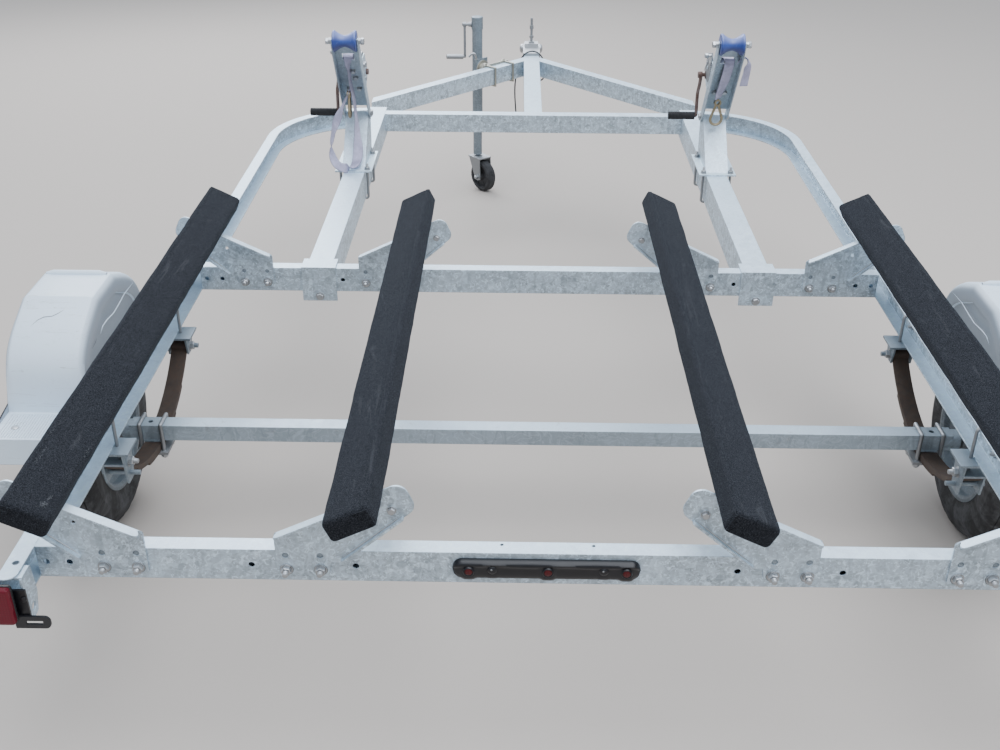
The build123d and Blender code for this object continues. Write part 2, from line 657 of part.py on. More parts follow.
def on_brace(s, d, z):
    return (BRACE_A[0] + BR_U[0] * s + BR_N[0] * d, BRACE_A[1] + BR_U[1] * s + BR_N[1] * d, z)


BRACE_PLANE = Plane(origin=on_brace(0, 0, 0), x_dir=(BR_U[0], BR_U[1], 0),
                    z_dir=(BR_N[0], BR_N[1], 0))
# in this plane: local X runs along the brace, local Y is down, local Z is outward


def bbox_on_brace(s0, s1, d0, d1, z0, z1):
    c = on_brace((s0 + s1) / 2, (d0 + d1) / 2, (z0 + z1) / 2)
    ang = math.degrees(math.atan2(BR_U[1], BR_U[0]))
    return Pos(*c) * Rot(0, 0, ang) * Box(s1 - s0, d1 - d0, z1 - z0)


def jack_mount():
    """Plate clamped on the outside of the left brace, with the swivel's fixed stub."""
    f = BRACE_W / 2
    s = bbox_on_brace(JACK_U[0] - 22, JACK_U[1] + 22, f, f + 7, -90, 10)
    s += cyl(on_brace(JACK_S, f + 7, PIVOT_Z), on_brace(JACK_S, f + STUB, PIVOT_Z), 30)
    s += cyl(on_brace(JACK_S, f + STUB - 6, PIVOT_Z), on_brace(JACK_S, f + STUB, PIVOT_Z), 42)
    s -= cyl(on_brace(JACK_S, f + 20, PIVOT_Z), on_brace(JACK_S, f + STUB + 10, PIVOT_Z), 12.05)
    r = 5.0
    for a in JACK_U:
        b = -f - r
        for z in (r, -RAIL_H - r):
            s += cyl(on_brace(a, -f - r, z), on_brace(a, f + 22, z), r)
        s += cyl(on_brace(a, -f - r, r), on_brace(a, -f - r, -RAIL_H - r), r)
        for z in (r, -RAIL_H - r):
            s += Pos(*on_brace(a, -f - r, z)) * Sphere(r)
    return one(s)


def jack_tube():
    """Outer tube with the turning half of the swivel and the gear head on top."""
    s = cyl((JACK_X, JACK_Y, JACK_LOW), (JACK_X, JACK_Y, JACK_TOP), JACK_R)
    f = BRACE_W / 2 + STUB
    s += cyl(on_brace(JACK_S, f + 0.5, PIVOT_Z), on_brace(JACK_S, f + 7, PIVOT_Z), 42)
    s += bbox_on_brace(JACK_S - 43, JACK_S + 43, f + 6, f + 12, -92, 10)
    s += bbox_on_brace(JACK_S - 22, JACK_S + 22, f + 11, JACK_D, -92, 10)
    s += cyl(on_brace(JACK_S, f - 50, PIVOT_Z), on_brace(JACK_S, f + 2, PIVOT_Z), 12.0)
    s += cyl((JACK_X, JACK_Y, JACK_TOP - 58), (JACK_X, JACK_Y, JACK_TOP), 28)
    s -= cyl((JACK_X, JACK_Y, JACK_LOW - 5), (JACK_X, JACK_Y, JACK_TOP - 50), JACK_RI)
    s += cyl((JACK_X - 44, JACK_Y, CRANK_Z), (JACK_X, JACK_Y, CRANK_Z), 11)
    s -= cyl((JACK_X - 60, JACK_Y, CRANK_Z), (JACK_X - 12, JACK_Y, CRANK_Z), 7.05)
    return one(s)


CRANK_X = JACK_X - 62         # line of the crank's arm
CRANK_ARM = 158.0


def jack_crank():
    z = CRANK_Z
    s = cyl((JACK_X - 14, JACK_Y, z), (CRANK_X - 8, JACK_Y, z), 7.0)
    s += cyl((CRANK_X + 8, JACK_Y, z), (CRANK_X - 8, JACK_Y, z), 12)
    s += cyl((CRANK_X, JACK_Y, z), (CRANK_X, JACK_Y, z - CRANK_ARM), 6)
    s += cyl((CRANK_X, JACK_Y, z - CRANK_ARM), (CRANK_X - 92, JACK_Y, z - CRANK_ARM), 6)
    s += Pos(CRANK_X, JACK_Y, z - CRANK_ARM) * Sphere(6)
    return one(s)


def jack_grip():
    z = CRANK_Z - CRANK_ARM
    s = cyl((CRANK_X - 8, JACK_Y, z), (CRANK_X - 90, JACK_Y, z), 12)
    s -= cyl((CRANK_X + 14, JACK_Y, z), (CRANK_X - 106, JACK_Y, z), 6.05)
    return one(s)


_c, _s = math.cos(math.radians(CASTER_TURN)), math.sin(math.radians(CASTER_TURN))
CASTER_C = (JACK_X + CASTER_TRAIL * _s, JACK_Y - CASTER_TRAIL * _c)
_st, _ct = math.sin(math.radians(TILT)), math.cos(math.radians(TILT))
_lean = math.asin(_s * _st)    # of the caster wheel's spindle from level
CASTER_DROP = CASTER_R * math.cos(_lean) + 15.0 * math.sin(_lean)
CASTER_Z = AXLE_Z - ((TYRE_R - CASTER_DROP) + (CASTER_C[1] - AXLE_Y) * _st) / _ct
YOKE_Z = CASTER_Z + CASTER_R + 18
LEG_TOP = 10.0                # top of the inner tube, inside the outer one


def jack_leg():
    """Inner tube, with the head of the swivel stem under it."""
    s = cyl((JACK_X, JACK_Y, YOKE_Z + 8), (JACK_X, JACK_Y, LEG_TOP), JACK_IN)
    s -= cyl((JACK_X, JACK_Y, YOKE_Z + 30), (JACK_X, JACK_Y, LEG_TOP + 1), 19)
    for i in range(7):
        z = YOKE_Z + 34 + 22 * i
        s -= Pos(JACK_X + JACK_IN, JACK_Y, z) * Rot(0, 90, 0) * Cylinder(5.5, 12)
    s += cyl((JACK_X, JACK_Y, YOKE_Z - 12), (JACK_X, JACK_Y, YOKE_Z + 9), 10.0)
    s += cyl((JACK_X, JACK_Y, YOKE_Z - 12), (JACK_X, JACK_Y, YOKE_Z - 6.2), 14)
    return one(s)


def caster_frame(s):
    """Puts a shape drawn with its spindle along X and trail towards -Y into place."""
    return Pos(JACK_X, JACK_Y, 0) * Rot(0, 0, CASTER_TURN) * s


def caster_yoke():
    zc = CASTER_Z
    s = box(-38, 38, -62, 30, YOKE_Z - 6, YOKE_Z)
    s -= cyl((0, 0, YOKE_Z - 20), (0, 0, YOKE_Z + 20), 10.06)
    for k in (-1, 1):
        x0 = k * 33
        side = [(-60, YOKE_Z - 1), (26, YOKE_Z - 1), (-24, zc - 14), (-CASTER_TRAIL, zc - 20),
                (-CASTER_TRAIL - 20, zc - 12), (-CASTER_TRAIL - 22, zc + 6)]
        s += prism_yz(side, min(x0, x0 + k * 5), max(x0, x0 + k * 5))
    s += cyl((-44, -CASTER_TRAIL, zc), (44, -CASTER_TRAIL, zc), 6.0)
    s += cyl((-44, -CASTER_TRAIL, zc), (-38, -CASTER_TRAIL, zc), 11)
    s += cyl((38, -CASTER_TRAIL, zc), (44, -CASTER_TRAIL, zc), 11)
    return caster_frame(one(s))


def caster_wheel():
    w, r = 25.0, CASTER_R
    prof = [(-30, 6.05), (-30, 18), (-14, 20), (-12, 54), (-w, 58), (-w, r - 10), (-w + 10, r),
            (w - 10, r), (w, r - 10), (w, 58), (12, 54), (14, 20), (30, 18), (30, 6.05)]
    s = Pos(0, -CASTER_TRAIL, CASTER_Z) * turned(prof)
    return caster_frame(one(s))


# ------------------------------------------------- straps, hooks and wiring
STRAP_W, STRAP_T = 38.0, 2.2
STRAP_R = math.sqrt(STRAP_W * STRAP_T / math.pi)   # round bar of the webbing's section
LEAD_R = 3.6                  # wiring lead


def route(points, r, name):
    """A round cord through points, each corner an arc as large as its runs allow."""
    p = [Vector(*q) for q in points]
    radii = []
    for a, b, c in zip(p, p[1:], p[2:]):
        turn = math.radians((b - a).get_angle(c - b))
        radii.append(0.45 * min((b - a).length, (c - b).length) / math.tan(turn / 2))
    print(name, "radii", " ".join(f"{v:.0f}" for v in radii),
          "runs", " ".join(f"{(b - a).length:.0f}" for a, b in zip(p, p[1:])))
    path = FilletPolyline(*p, radius=radii)
    section = Plane(origin=path @ 0, z_dir=path % 0) * Circle(r)
    solid = sweep(section, path=path)
    want = math.pi * r * r * path.length
    print(name, "length", round(path.length, 1), "volume ratio",
          round(solid.volume / want, 4))
    return one(solid)


# out of the slot under the left roller, down the channel, once round the foot and
# back up to the hook
STRAP_LEFT = [
    (-677, 2292, 418), (-678, 2294, 398), (-680, 2308, 366), (-681, 2330, 332), (-680, 2341, 300),
    (-676, 2349, 268), (-672, 2352, 225), (-669, 2351, 178), (-668, 2345, 132),
    (-664, 2326, 96), (-661, 2298, 66), (-663, 2274, 40), (-672, 2256, 22),
    (-694, 2246, 16), (-719, 2247, 18), (-741, 2254, 30), (-755, 2270, 56), (-759, 2290, 92),
    (-752, 2311, 132), (-739, 2328, 172), (-721, 2339, 212), (-704, 2343, 246),
]
# out of the slot under the right roller, doubled over in the channel
STRAP_RIGHT = [
    (686, 2288, 424), (685, 2284, 406), (684, 2296, 380), (683, 2316, 350), (682, 2338, 322),
    (678, 2356, 296), (673, 2366, 272), (672, 2372, 256),
]
HOOK_L = (-690.0, 2345.0, 262.0)   # eye of the left hook, seen edge on
HOOK_R = (672.0, 2376.0, 236.0)


def hook(eye, facing):
    """Forged snap hook: eye at the top, pear-shaped body of round bar below it."""
    r, rr = 5.0, 22.0
    h = 58.0                       # from the eye's centre to the middle of the round end
    a = math.acos(rr / h)
    tx, tz = rr * math.sin(a), -h + rr * math.cos(a)
    left, right = (-tx, tz), (tx, tz)
    path = Wire([Line((0, 0, 0), (-tx, 0, tz)),
                 ThreePointArc((-tx, 0, tz), (0, 0, -h - rr), (tx, 0, tz)),
                 Line((tx, 0, tz), (0, 0, 0))])
    pa = Wire([Line((-4, 0, -3), (-tx, 0, tz)),
               ThreePointArc((-tx, 0, tz), (0, 0, -h - rr), (tx, 0, tz)),
               Line((tx, 0, tz), (4, 0, -3))])
    s = sweep(Plane(origin=pa @ 0, z_dir=pa % 0) * Circle(r), path=pa)
    s += cyl((0, -7, 4), (0, 7, 4), 13) - cyl((0, -9, 4), (0, 9, 4), 7)
    s = one(s)
    return Pos(*eye) * Rot(0, 0, facing) * s


# out of the grommet under the tongue tube, up its right side, over it and down
LEAD = [
    (24, 3950, -83), (27, 3950, -98), (40, 3952, -112), (58, 3957, -108), (69, 3963, -86),
    (69, 3969, -56), (64, 3975, -25), (52, 3981, 2), (33, 3986, 20), (9, 3989, 27),
    (-16, 3991, 23), (-38, 3992, 8), (-56, 3992, -18), (-68, 3991, -52), (-76, 3990, -92),
    (-81, 3990, -135), (-82, 3990, -180), (-80, 3991, -226), (-76, 3991, -272),
    (-73, 3992, -314),
]
LEAD_HOLE = (24.0, 3950.0)


def grommet():
    x, y = LEAD_HOLE
    s = cyl((x, y, -RAIL_H - 4), (x, y, -RAIL_H + 5), 8.9)
    s += cyl((x, y, -RAIL_H - 4), (x, y, -RAIL_H), 12)
    s -= cyl((x, y, -RAIL_H - 3), (x, y, -RAIL_H - 10), LEAD_R + 0.05)
    return one(s)


def lead_plug():
    """Flat moulded connector at the end of the lead."""
    a, b = Vector(*LEAD[-2]), Vector(*LEAD[-1])
    d = (b - a).normalized()
    pl = Plane(origin=b, z_dir=d, x_dir=(0, 1, 0))
    s = pl * Pos(0, 0, 9) * Box(9, 14, 18)
    s += pl * Pos(0, 0, 29) * Box(26, 10, 26)
    return one(s)


# ----------------------------------------------------------------- lights
def tail_light(side):
    x0, x1 = 1043.0, 1160.0
    s = box(x0, x1, -134, -112, -94, -3)
    s = fillet(s.edges().filter_by(Axis.Y), 10)
    if side < 0:
        s = mirrored(s)
    return one(s)


def light_bracket(side):
    """Plate between the rail end and the light; the left one carries the plate tab."""
    s = box(1052, 1150, -111.8, -107, -100, -20)
    s += box(RAIL_OUT, RAIL_OUT + 5, -111, -60, -66, -12)
    if side < 0:
        leaf = box(985, 1056, -111.8, -107, -117, -87)
        leaf = fillet(leaf.edges().filter_by(Axis.Y).sort_by(Axis.X)[:2], 12)
        s += leaf
        s -= box(1000, 1034, -120, -100, -107, -98)
        s = mirrored(s)
    return one(s)


def id_light():
    s = box(-191.5, 191.5, -20, 0, -58, -13)
    s = fillet(s.edges().filter_by(Axis.Y), 17)
    return one(s)


def tie_tab(side):
    """Leaf-shaped lashing tab inside the end of a rail."""
    pts = [(-98, -6), (-52, -6), (-46, -72), (-60, -114), (-86, -114), (-100, -72)]
    s = prism_yz(pts, 0, 5)
    s = fillet(s.edges().filter_by(Axis.X).sort_by(Axis.Z)[:2], 9)
    s -= cyl((-5, -73, -92), (10, -73, -92), 9.5)
    s = Pos(RAIL_OUT - RAIL_W - 10, 0, 0) * s
    s += box(RAIL_OUT - RAIL_W - 10, RAIL_OUT - RAIL_T, -95, -55, -RAIL_T - 5, -RAIL_T)
    if side < 0:
        s = mirrored(s)
    return one(s)


# ------------------------------------------------------------------ output
def pair(make):
    r = make()
    return [mirrored(r), r]


rail_r = rail()
long_r = longitudinal()
spring_r = leaf_spring()
clamp_r = axle_clamp()
fend_r = fender()
leg_r, arm_r = stand_leg(), stand_arm()
bolt_r, roll_r = roller_bolt(), bow_roller()
wf_r, wd_r, wg_r = winch_frame(), winch_drum(), winch_gear()
wc_r, wh_r = winch_crank(), winch_grip()
brace_l = brace_left()
fh_r = hanger(SPRING_EYE[0], SPRING_EYE[1], 7.0)
rh_r = slipper_hanger()
sad_r = saddle()
fb_r = [fender_bracket(-1), fender_bracket(1)]

HOLES = (388.0, 601.0, 974.0, 1022.0)
TOP_HOLES = (-1025.0, -91.0, 96.0, 1025.0)

# side, distance of the bracket's near edge from the middle, way it rises
BRACKETS = [(-1, NEAR_OUT, -1), (-1, NEAR_IN, 1), (1, NEAR_IN, -1), (1, NEAR_OUT, 1)]



def moved_left(s):
    """The two winches are the same hand, so the left one is the right one shifted across."""
    return Pos(-2 * STAND_X, 0, 0) * s


# name, solids
NODES = [
    ("rail_left", [mirrored(rail_r)]),
    ("rail_right", [rail_r]),
    ("rear_crossmember", [crossmember(0.0, HOLES, TOP_HOLES)]),
    ("middle_crossmember", [crossmember(MID_Y, HOLES)]),
    ("front_crossmember", [front_crossmember()]),
    ("longitudinals", [mirrored(long_r), long_r]),
    ("tongue_tube", [tongue_tube()]),
    ("tongue_braces", [brace_l, mirrored(brace_l)]),
    ("crossmember_saddles", [mirrored(sad_r), sad_r]),
    ("coupler", [coupler()]),
    ("coupler_latch", [coupler_latch()]),
    ("axle", [axle()]),
    ("leaf_springs", [mirrored(spring_r), spring_r]),
    ("front_spring_hangers", [mirrored(fh_r), fh_r]),
    ("rear_spring_hangers", [mirrored(rh_r), rh_r]),
    ("axle_clamps", [mirrored(clamp_r), clamp_r]),
    ("fender_left", [mirrored(fend_r)]),
    ("fender_right", [fend_r]),
    ("fender_brackets", [mirrored(v) for v in fb_r] + fb_r),
    ("bunk_outer_left", [bunk(-NEAR_OUT, -1)]),
    ("bunk_inner_left", [bunk(-NEAR_IN, 1)]),
    ("bunk_inner_right", [bunk(NEAR_IN, -1)]),
    ("bunk_outer_right", [bunk(NEAR_OUT, 1)]),
    ("rear_bunk_brackets", [bracket(k * near, way, 0.0) for k, near, way in BRACKETS]),
    ("middle_bunk_brackets", [bracket(k * near, way, MID_Y) for k, near, way in BRACKETS]),
    ("bow_stand_legs", [mirrored(leg_r), leg_r]),
    ("bow_stand_arms", [mirrored(arm_r), arm_r]),
    ("bow_roller_bolts", [mirrored(bolt_r), bolt_r]),
    ("bow_roller_left", [mirrored(roll_r)]),
    ("bow_roller_right", [roll_r]),
    ("winch_frames", [moved_left(wf_r), wf_r]),
    ("winch_drum_left", [moved_left(wd_r), moved_left(wg_r)]),
    ("winch_drum_right", [wd_r, wg_r]),
    ("winch_crank_left", [moved_left(wc_r), moved_left(wh_r)]),
    ("winch_crank_right", [wc_r, wh_r]),
    ("tyre_left", [tyre(-1)]),
    ("tyre_right", [tyre(1)]),
    ("rim_left", [rim(-1)]),
    ("rim_right", [rim(1)]),
    ("hub_left", [hub(-1)]),
    ("hub_right", [hub(1)]),
    ("jack_mount", [jack_mount()]),
    ("jack_tube", [jack_tube()]),
    ("jack_crank", [jack_crank(), jack_grip()]),
    ("jack_leg", [jack_leg()]),
    ("caster_yoke", [caster_yoke()]),
    ("caster_wheel", [caster_wheel()]),
    ("tail_lights", [tail_light(-1), tail_light(1)]),
    ("tail_light_brackets", [light_bracket(-1), light_bracket(1)]),
    ("identification_light", [id_light()]),
    ("lashing_tabs", [tie_tab(-1), tie_tab(1)]),
    ("winch_strap_left", [route(STRAP_LEFT, STRAP_R, "left strap")]),
    ("winch_strap_right", [route(STRAP_RIGHT, STRAP_R, "right strap")]),
    ("strap_hooks", [hook(HOOK_L, 90), hook(HOOK_R, 10)]),
    ("wiring_grommet", [grommet()]),
    ("wiring_lead", [route(LEAD, LEAD_R, "wiring lead")]),
    ("wiring_plug", [lead_plug()]),
]

GROUND = -(_st * AXLE_Y + _ct * AXLE_Z - TYRE_R)   # lifts the tyres onto Z = 0
SHIFT_Y = 0.0


def place(s):
    return Pos(0, -SHIFT_Y, GROUND) * Rot(TILT, 0, 0) * s


placed = {n: [place(s) for s in v] for n, v in NODES}
ys = [(b.min.Y, b.max.Y) for v in placed.values() for b in (s.bounding_box() for s in v)]
SHIFT_Y = (min(a for a, b in ys) + max(b for a, b in ys)) / 2
for name, solids in placed.items():
    moved = [Pos(0, -SHIFT_Y, 0) * s for s in solids]
    shape = moved[0] if len(moved) == 1 else Compound(children=moved)
    export_step(shape, f"parts/{name}.step")
    b = shape.bounding_box()
    print(f"{name:28s} {len(shape.solids())} {shape.volume/1e3:9.1f} cm3  "
          f"x {b.min.X:.1f} {b.max.X:.1f}  y {b.min.Y:.1f} {b.max.Y:.1f}  z {b.min.Z:.1f} {b.max.Z:.1f}")
print("shift", SHIFT_Y, "ground", GROUND, "caster", CASTER_C, CASTER_Z,
      "jack", JACK_S, JACK_D)
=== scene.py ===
import bpy, bmesh, json, math, random
from mathutils import Matrix, Vector, noise
from mathutils.geometry import tessellate_polygon


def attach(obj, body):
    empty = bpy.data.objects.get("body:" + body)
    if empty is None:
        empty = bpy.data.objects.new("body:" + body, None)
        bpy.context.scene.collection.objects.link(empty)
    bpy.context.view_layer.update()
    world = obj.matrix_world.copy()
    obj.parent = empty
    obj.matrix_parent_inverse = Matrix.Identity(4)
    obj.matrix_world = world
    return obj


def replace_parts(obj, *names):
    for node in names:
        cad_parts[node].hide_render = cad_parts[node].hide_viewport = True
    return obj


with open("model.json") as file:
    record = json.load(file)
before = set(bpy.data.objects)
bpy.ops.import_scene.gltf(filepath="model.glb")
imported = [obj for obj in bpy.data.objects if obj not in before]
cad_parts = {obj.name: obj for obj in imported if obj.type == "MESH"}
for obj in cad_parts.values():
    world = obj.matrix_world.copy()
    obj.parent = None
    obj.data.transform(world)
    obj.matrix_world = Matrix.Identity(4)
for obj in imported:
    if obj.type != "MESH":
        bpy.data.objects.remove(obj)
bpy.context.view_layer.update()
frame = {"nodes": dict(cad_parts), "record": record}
N = frame["nodes"]
TRAILER = "trailer"

# ------------------------------------------------------------ the frame's own axes
# Lengths taken from part.py are in millimetres in the trailer's level axes: Y = 0 at the
# rear face of the rear crossmember, Z = 0 at the top of the rails. W() stands a point on
# the ground as the CAD does, D() turns a direction.
TILT = math.radians(3.7)
CT, ST = math.cos(TILT), math.sin(TILT)
SHIFT_Y, GROUND = 2071.15338, 418.75793


def W(x, y, z):
    return Vector((x, y * CT - z * ST - SHIFT_Y, y * ST + z * CT + GROUND)) / 1000.0


def D(x, y, z):
    return Vector((x, y * CT - z * ST, y * ST + z * CT)).normalized()


# ------------------------------------------------------------------------- camera
TH, RO, YA = 0.5153, 0.0063, -0.0129
f = Vector((math.sin(YA) * math.cos(TH), math.cos(YA) * math.cos(TH), -math.sin(TH)))
r0 = Vector((math.cos(YA), -math.sin(YA), 0))
u0 = r0.cross(f)
r = r0 * math.cos(RO) + u0 * math.sin(RO)
u = u0 * math.cos(RO) - r0 * math.sin(RO)
tip = Matrix.Rotation(TILT, 3, "X")
f, r, u = tip @ f, tip @ r, tip @ u
cam_data = bpy.data.cameras.new("camera")
cam = bpy.data.objects.new("camera", cam_data)
bpy.context.scene.collection.objects.link(cam)
cam.matrix_world = Matrix(((r.x, u.x, -f.x, 0), (r.y, u.y, -f.y, 0), (r.z, u.z, -f.z, 0),
                           (0, 0, 0, 1)))
cam.location = W(-73.1, -1842.75, 1457.39)
cam_data.sensor_width = 36.0
cam_data.lens = 41.4
cam_data.clip_end = 60.0
bpy.context.scene.camera = cam


# ---------------------------------------------------------------------- materials
class Mat:
    """A small helper to write a node material in a few lines."""

    def __init__(self, name, rough=0.5, metal=0.0, **sockets):
        self.m = bpy.data.materials.new(name)
        self.m.use_nodes = True
        self.t = self.m.node_tree
        self.b = self.t.nodes["Principled BSDF"]
        self.b.inputs["Roughness"].default_value = rough
        self.b.inputs["Metallic"].default_value = metal
        for k, v in sockets.items():
            self.b.inputs[k.replace("_", " ")].default_value = v
        self.co = self.t.nodes.new("ShaderNodeTexCoord").outputs["Object"]

    def node(self, kind, **props):
        n = self.t.nodes.new(kind)
        for k, v in props.items():
            setattr(n, k, v)
        return n

    def link(self, a, b):
        self.t.links.new(a, b)

    def scaled(self, sx, sy, sz, rot=(0, 0, 0)):
        n = self.node("ShaderNodeMapping")
        n.inputs["Scale"].default_value = (sx, sy, sz)
        n.inputs["Rotation"].default_value = rot
        self.link(self.co, n.inputs["Vector"])
        return n.outputs["Vector"]

    def noise(self, scale, detail=3.0, rough=0.55, dist=0.0, at=None):
        n = self.node("ShaderNodeTexNoise")
        n.inputs["Scale"].default_value = scale
        n.inputs["Detail"].default_value = detail
        n.inputs["Roughness"].default_value = rough
        n.inputs["Distortion"].default_value = dist
        self.link(at or self.co, n.inputs["Vector"])
        return n.outputs["Fac"]

    def cells(self, scale, feature="F1", out="Color", at=None, rand=1.0):
        n = self.node("ShaderNodeTexVoronoi", feature=feature)
        n.inputs["Scale"].default_value = scale
        n.inputs["Randomness"].default_value = rand
        self.link(at or self.co, n.inputs["Vector"])
        return n.outputs[out]

    def ramp(self, fac, stops):
        n = self.node("ShaderNodeValToRGB")
        e = n.color_ramp.elements
        while len(e) < len(stops):
            e.new(0.5)
        for k, (p, c) in zip(e, stops):
            k.position = p
            k.color = (*c, 1) if isinstance(c, tuple) else (c, c, c, 1)
        self.link(fac, n.inputs["Fac"])
        return n.outputs["Color"]

    def mix(self, fac, a, b, how="MIX"):
        n = self.node("ShaderNodeMix", data_type="RGBA", blend_type=how)
        for sock, v in ((n.inputs[0], fac), (n.inputs[6], a), (n.inputs[7], b)):
            if isinstance(v, (int, float)) and sock.type == "VALUE":
                sock.default_value = v
            elif isinstance(v, (int, float)):
                sock.default_value = (v, v, v, 1)
            elif isinstance(v, tuple):
                sock.default_value = (*v, 1)
            else:
                self.link(v, sock)
        return n.outputs[2]

    def math(self, op, a, b=None, clamp=False):
        n = self.node("ShaderNodeMath", operation=op, use_clamp=clamp)
        for i, v in enumerate((a, b)):
            if v is None:
                continue
            if isinstance(v, (int, float)):
                n.inputs[i].default_value = v
            else:
                self.link(v, n.inputs[i])
        return n.outputs[0]

    def color(self, c):
        if isinstance(c, tuple):
            self.b.inputs["Base Color"].default_value = (*c, 1)
        else:
            self.link(c, self.b.inputs["Base Color"])

    def rough(self, lo, hi, fac):
        n = self.node("ShaderNodeMapRange")
        n.inputs["To Min"].default_value = lo
        n.inputs["To Max"].default_value = hi
        self.link(fac, n.inputs["Value"])
        self.link(n.outputs[0], self.b.inputs["Roughness"])

    def bump(self, *layers, edge=0.0):
        """Layers of (height, strength, depth in millimetres); edge rounds sharp edges."""
        last = None
        if edge:
            n = self.node("ShaderNodeBevel", samples=4)
            n.inputs["Radius"].default_value = edge / 1000
            last = n.outputs["Normal"]
        for h, strength, depth in layers:
            n = self.node("ShaderNodeBump")
            n.inputs["Strength"].default_value = strength
            n.inputs["Distance"].default_value = depth / 1000
            self.link(h, n.inputs["Height"])
            if last is not None:
                self.link(last, n.inputs["Normal"])
            last = n.outputs["Normal"]
        self.link(last, self.b.inputs["Normal"])


def up_faces(m, lo=0.55, hi=0.95):
    """How far a surface faces up, 0 to 1."""
    g = m.node("ShaderNodeNewGeometry")
    s = m.node("ShaderNodeSeparateXYZ")
    m.link(g.outputs["Normal"], s.inputs[0])
    n = m.node("ShaderNodeMapRange")
    n.inputs["From Min"].default_value = lo
    n.inputs["From Max"].default_value = hi
    m.link(s.outputs["Z"], n.inputs["Value"])
    return n.outputs[0]


def warped(m, scale, amount):
    """Coordinates pushed about by noise, so that cells get ragged borders."""
    n = m.node("ShaderNodeTexNoise")
    n.inputs["Scale"].default_value = scale
    n.inputs["Detail"].default_value = 2.0
    m.link(m.co, n.inputs["Vector"])
    v = m.node("ShaderNodeVectorMath", operation="MULTIPLY_ADD")
    m.link(n.outputs["Color"], v.inputs[0])
    v.inputs[1].default_value = (amount, amount, amount)
    m.link(m.co, v.inputs[2])
    return v.outputs[0]


def galvanized(name, tone=1.0, spangle=1.0, rust=0.0, edge=2.5, metal=0.5, under=0.0):
    """Hot-dip zinc: crystals in greys, cloudy patches, pale runs; painted light makes the tops lighter with
    stronger crystals, and under paints shade on what faces down.
    """
    m = Mat(name, rough=0.5, metal=metal)
    w = warped(m, 38, 0.016)
    a = m.ramp(m.cells(62, at=w), [(0.15, 0.24 * tone), (0.5, 0.46 * tone), (0.85, 0.86 * tone)])
    b = m.ramp(m.cells(150, at=w), [(0.15, 0.26 * tone), (0.85, 0.80 * tone)])
    c = m.mix(0.42, a, b)
    # painted light: faces that face up show the crystals in stronger contrast here and get a lighter grey further
    # down
    up = up_faces(m, 0.4, 0.9)
    flat = m.math("SUBTRACT", 1.0 - 0.42 * spangle, m.math("MULTIPLY", up, 0.30 * spangle), clamp=True)
    grey = m.mix(flat, c, 0.50 * tone)
    cloud = m.noise(6.5, 4, 0.6, 0.8)
    grey = m.mix(m.ramp(cloud, [(0.40, 0.0), (0.60, 0.45)]), grey, 0.66 * tone)
    flow = m.noise(15, 2, 0.5, 2.8, at=m.scaled(1, 0.55, 1.4, (0.2, 0.3, 0.9)))
    line = m.ramp(flow, [(0.0, 0.0), (0.45, 0.0), (0.50, 0.42), (0.55, 0.0)])
    grey = m.mix(line, grey, 0.84 * tone)
    fleck = m.ramp(m.noise(80, 3, 0.62, 1.1), [(0.0, 0.0), (0.565, 0.0), (0.605, 0.70)])
    grey = m.mix(m.math("MULTIPLY", fleck, min(1.0, 0.6 * spangle)), grey, 0.92 * tone)
    runs = m.noise(24, 3, 0.6, 1.4, at=m.scaled(1.6, 1.6, 0.35))
    grey = m.mix(m.ramp(runs, [(0.56, 0.0), (0.64, 0.40)]), grey, 0.36 * tone)
    stain = m.noise(2.3, 5, 0.65, 0.3)
    grey = m.mix(m.ramp(stain, [(0.58, 0.0), (0.74, 0.28)]), grey, (0.36 * tone, 0.36 * tone, 0.34 * tone))
    # painted light: faces that face up are mixed toward near white
    grey = m.mix(m.math("MULTIPLY", up, 0.75), grey, 0.99 * tone)
    col = m.mix(1.0, grey, (0.83, 0.985, 1.11), "MULTIPLY")
    # painted shade: faces that face down are mixed toward a dark grey
    if under:
        g = m.node("ShaderNodeNewGeometry")
        sp_ = m.node("ShaderNodeSeparateXYZ")
        m.link(g.outputs["Normal"], sp_.inputs[0])
        painted_down_shade = m.ramp(m.math("MULTIPLY", sp_.outputs["Z"], -1.0), [(0.12, 0.0), (0.35, under)])
        col = m.mix(painted_down_shade, col, (0.125, 0.135, 0.145))
    if rust:
        spot = m.ramp(m.noise(38, 5, 0.7, 0.8), [(0.60, 0.0), (0.70, rust)])
        col = m.mix(spot, col, (0.20, 0.11, 0.06))
    m.color(col)
    m.rough(0.33, 0.62, m.math("ADD", m.math("MULTIPLY", m.cells(62, at=w), 0.5), m.math("MULTIPLY", cloud, 0.5)))
    m.bump((m.cells(62, out="Distance", at=w), 0.25, 0.5), (m.noise(34, 4, 0.6), 0.35, 0.6), edge=edge)
    return m.m


def plated(name, base, rough=0.28, dirt=0.25, edge=0.6, dark=(0.16, 0.15, 0.13)):
    m = Mat(name, rough=rough, metal=0.9)
    n1 = m.noise(60, 5, 0.65, 0.4)
    n2 = m.noise(9, 3, 0.5)
    c = m.mix(m.ramp(n2, [(0.3, 0.0), (0.75, 0.6)]), base, tuple(v * 0.62 for v in base))
    c = m.mix(m.ramp(n1, [(0.52, 0.0), (0.72, dirt)]), c, dark)
    # painted shade: faces that do not face up are mixed toward half the base colour
    c = m.mix(up_faces(m, 0.0, 0.7), tuple(v * 0.50 for v in base), c)
    m.color(c)
    m.rough(rough, rough + 0.28, n1)
    m.bump((m.noise(420, 3, 0.6), 0.2, 0.12), edge=edge)
    return m.m


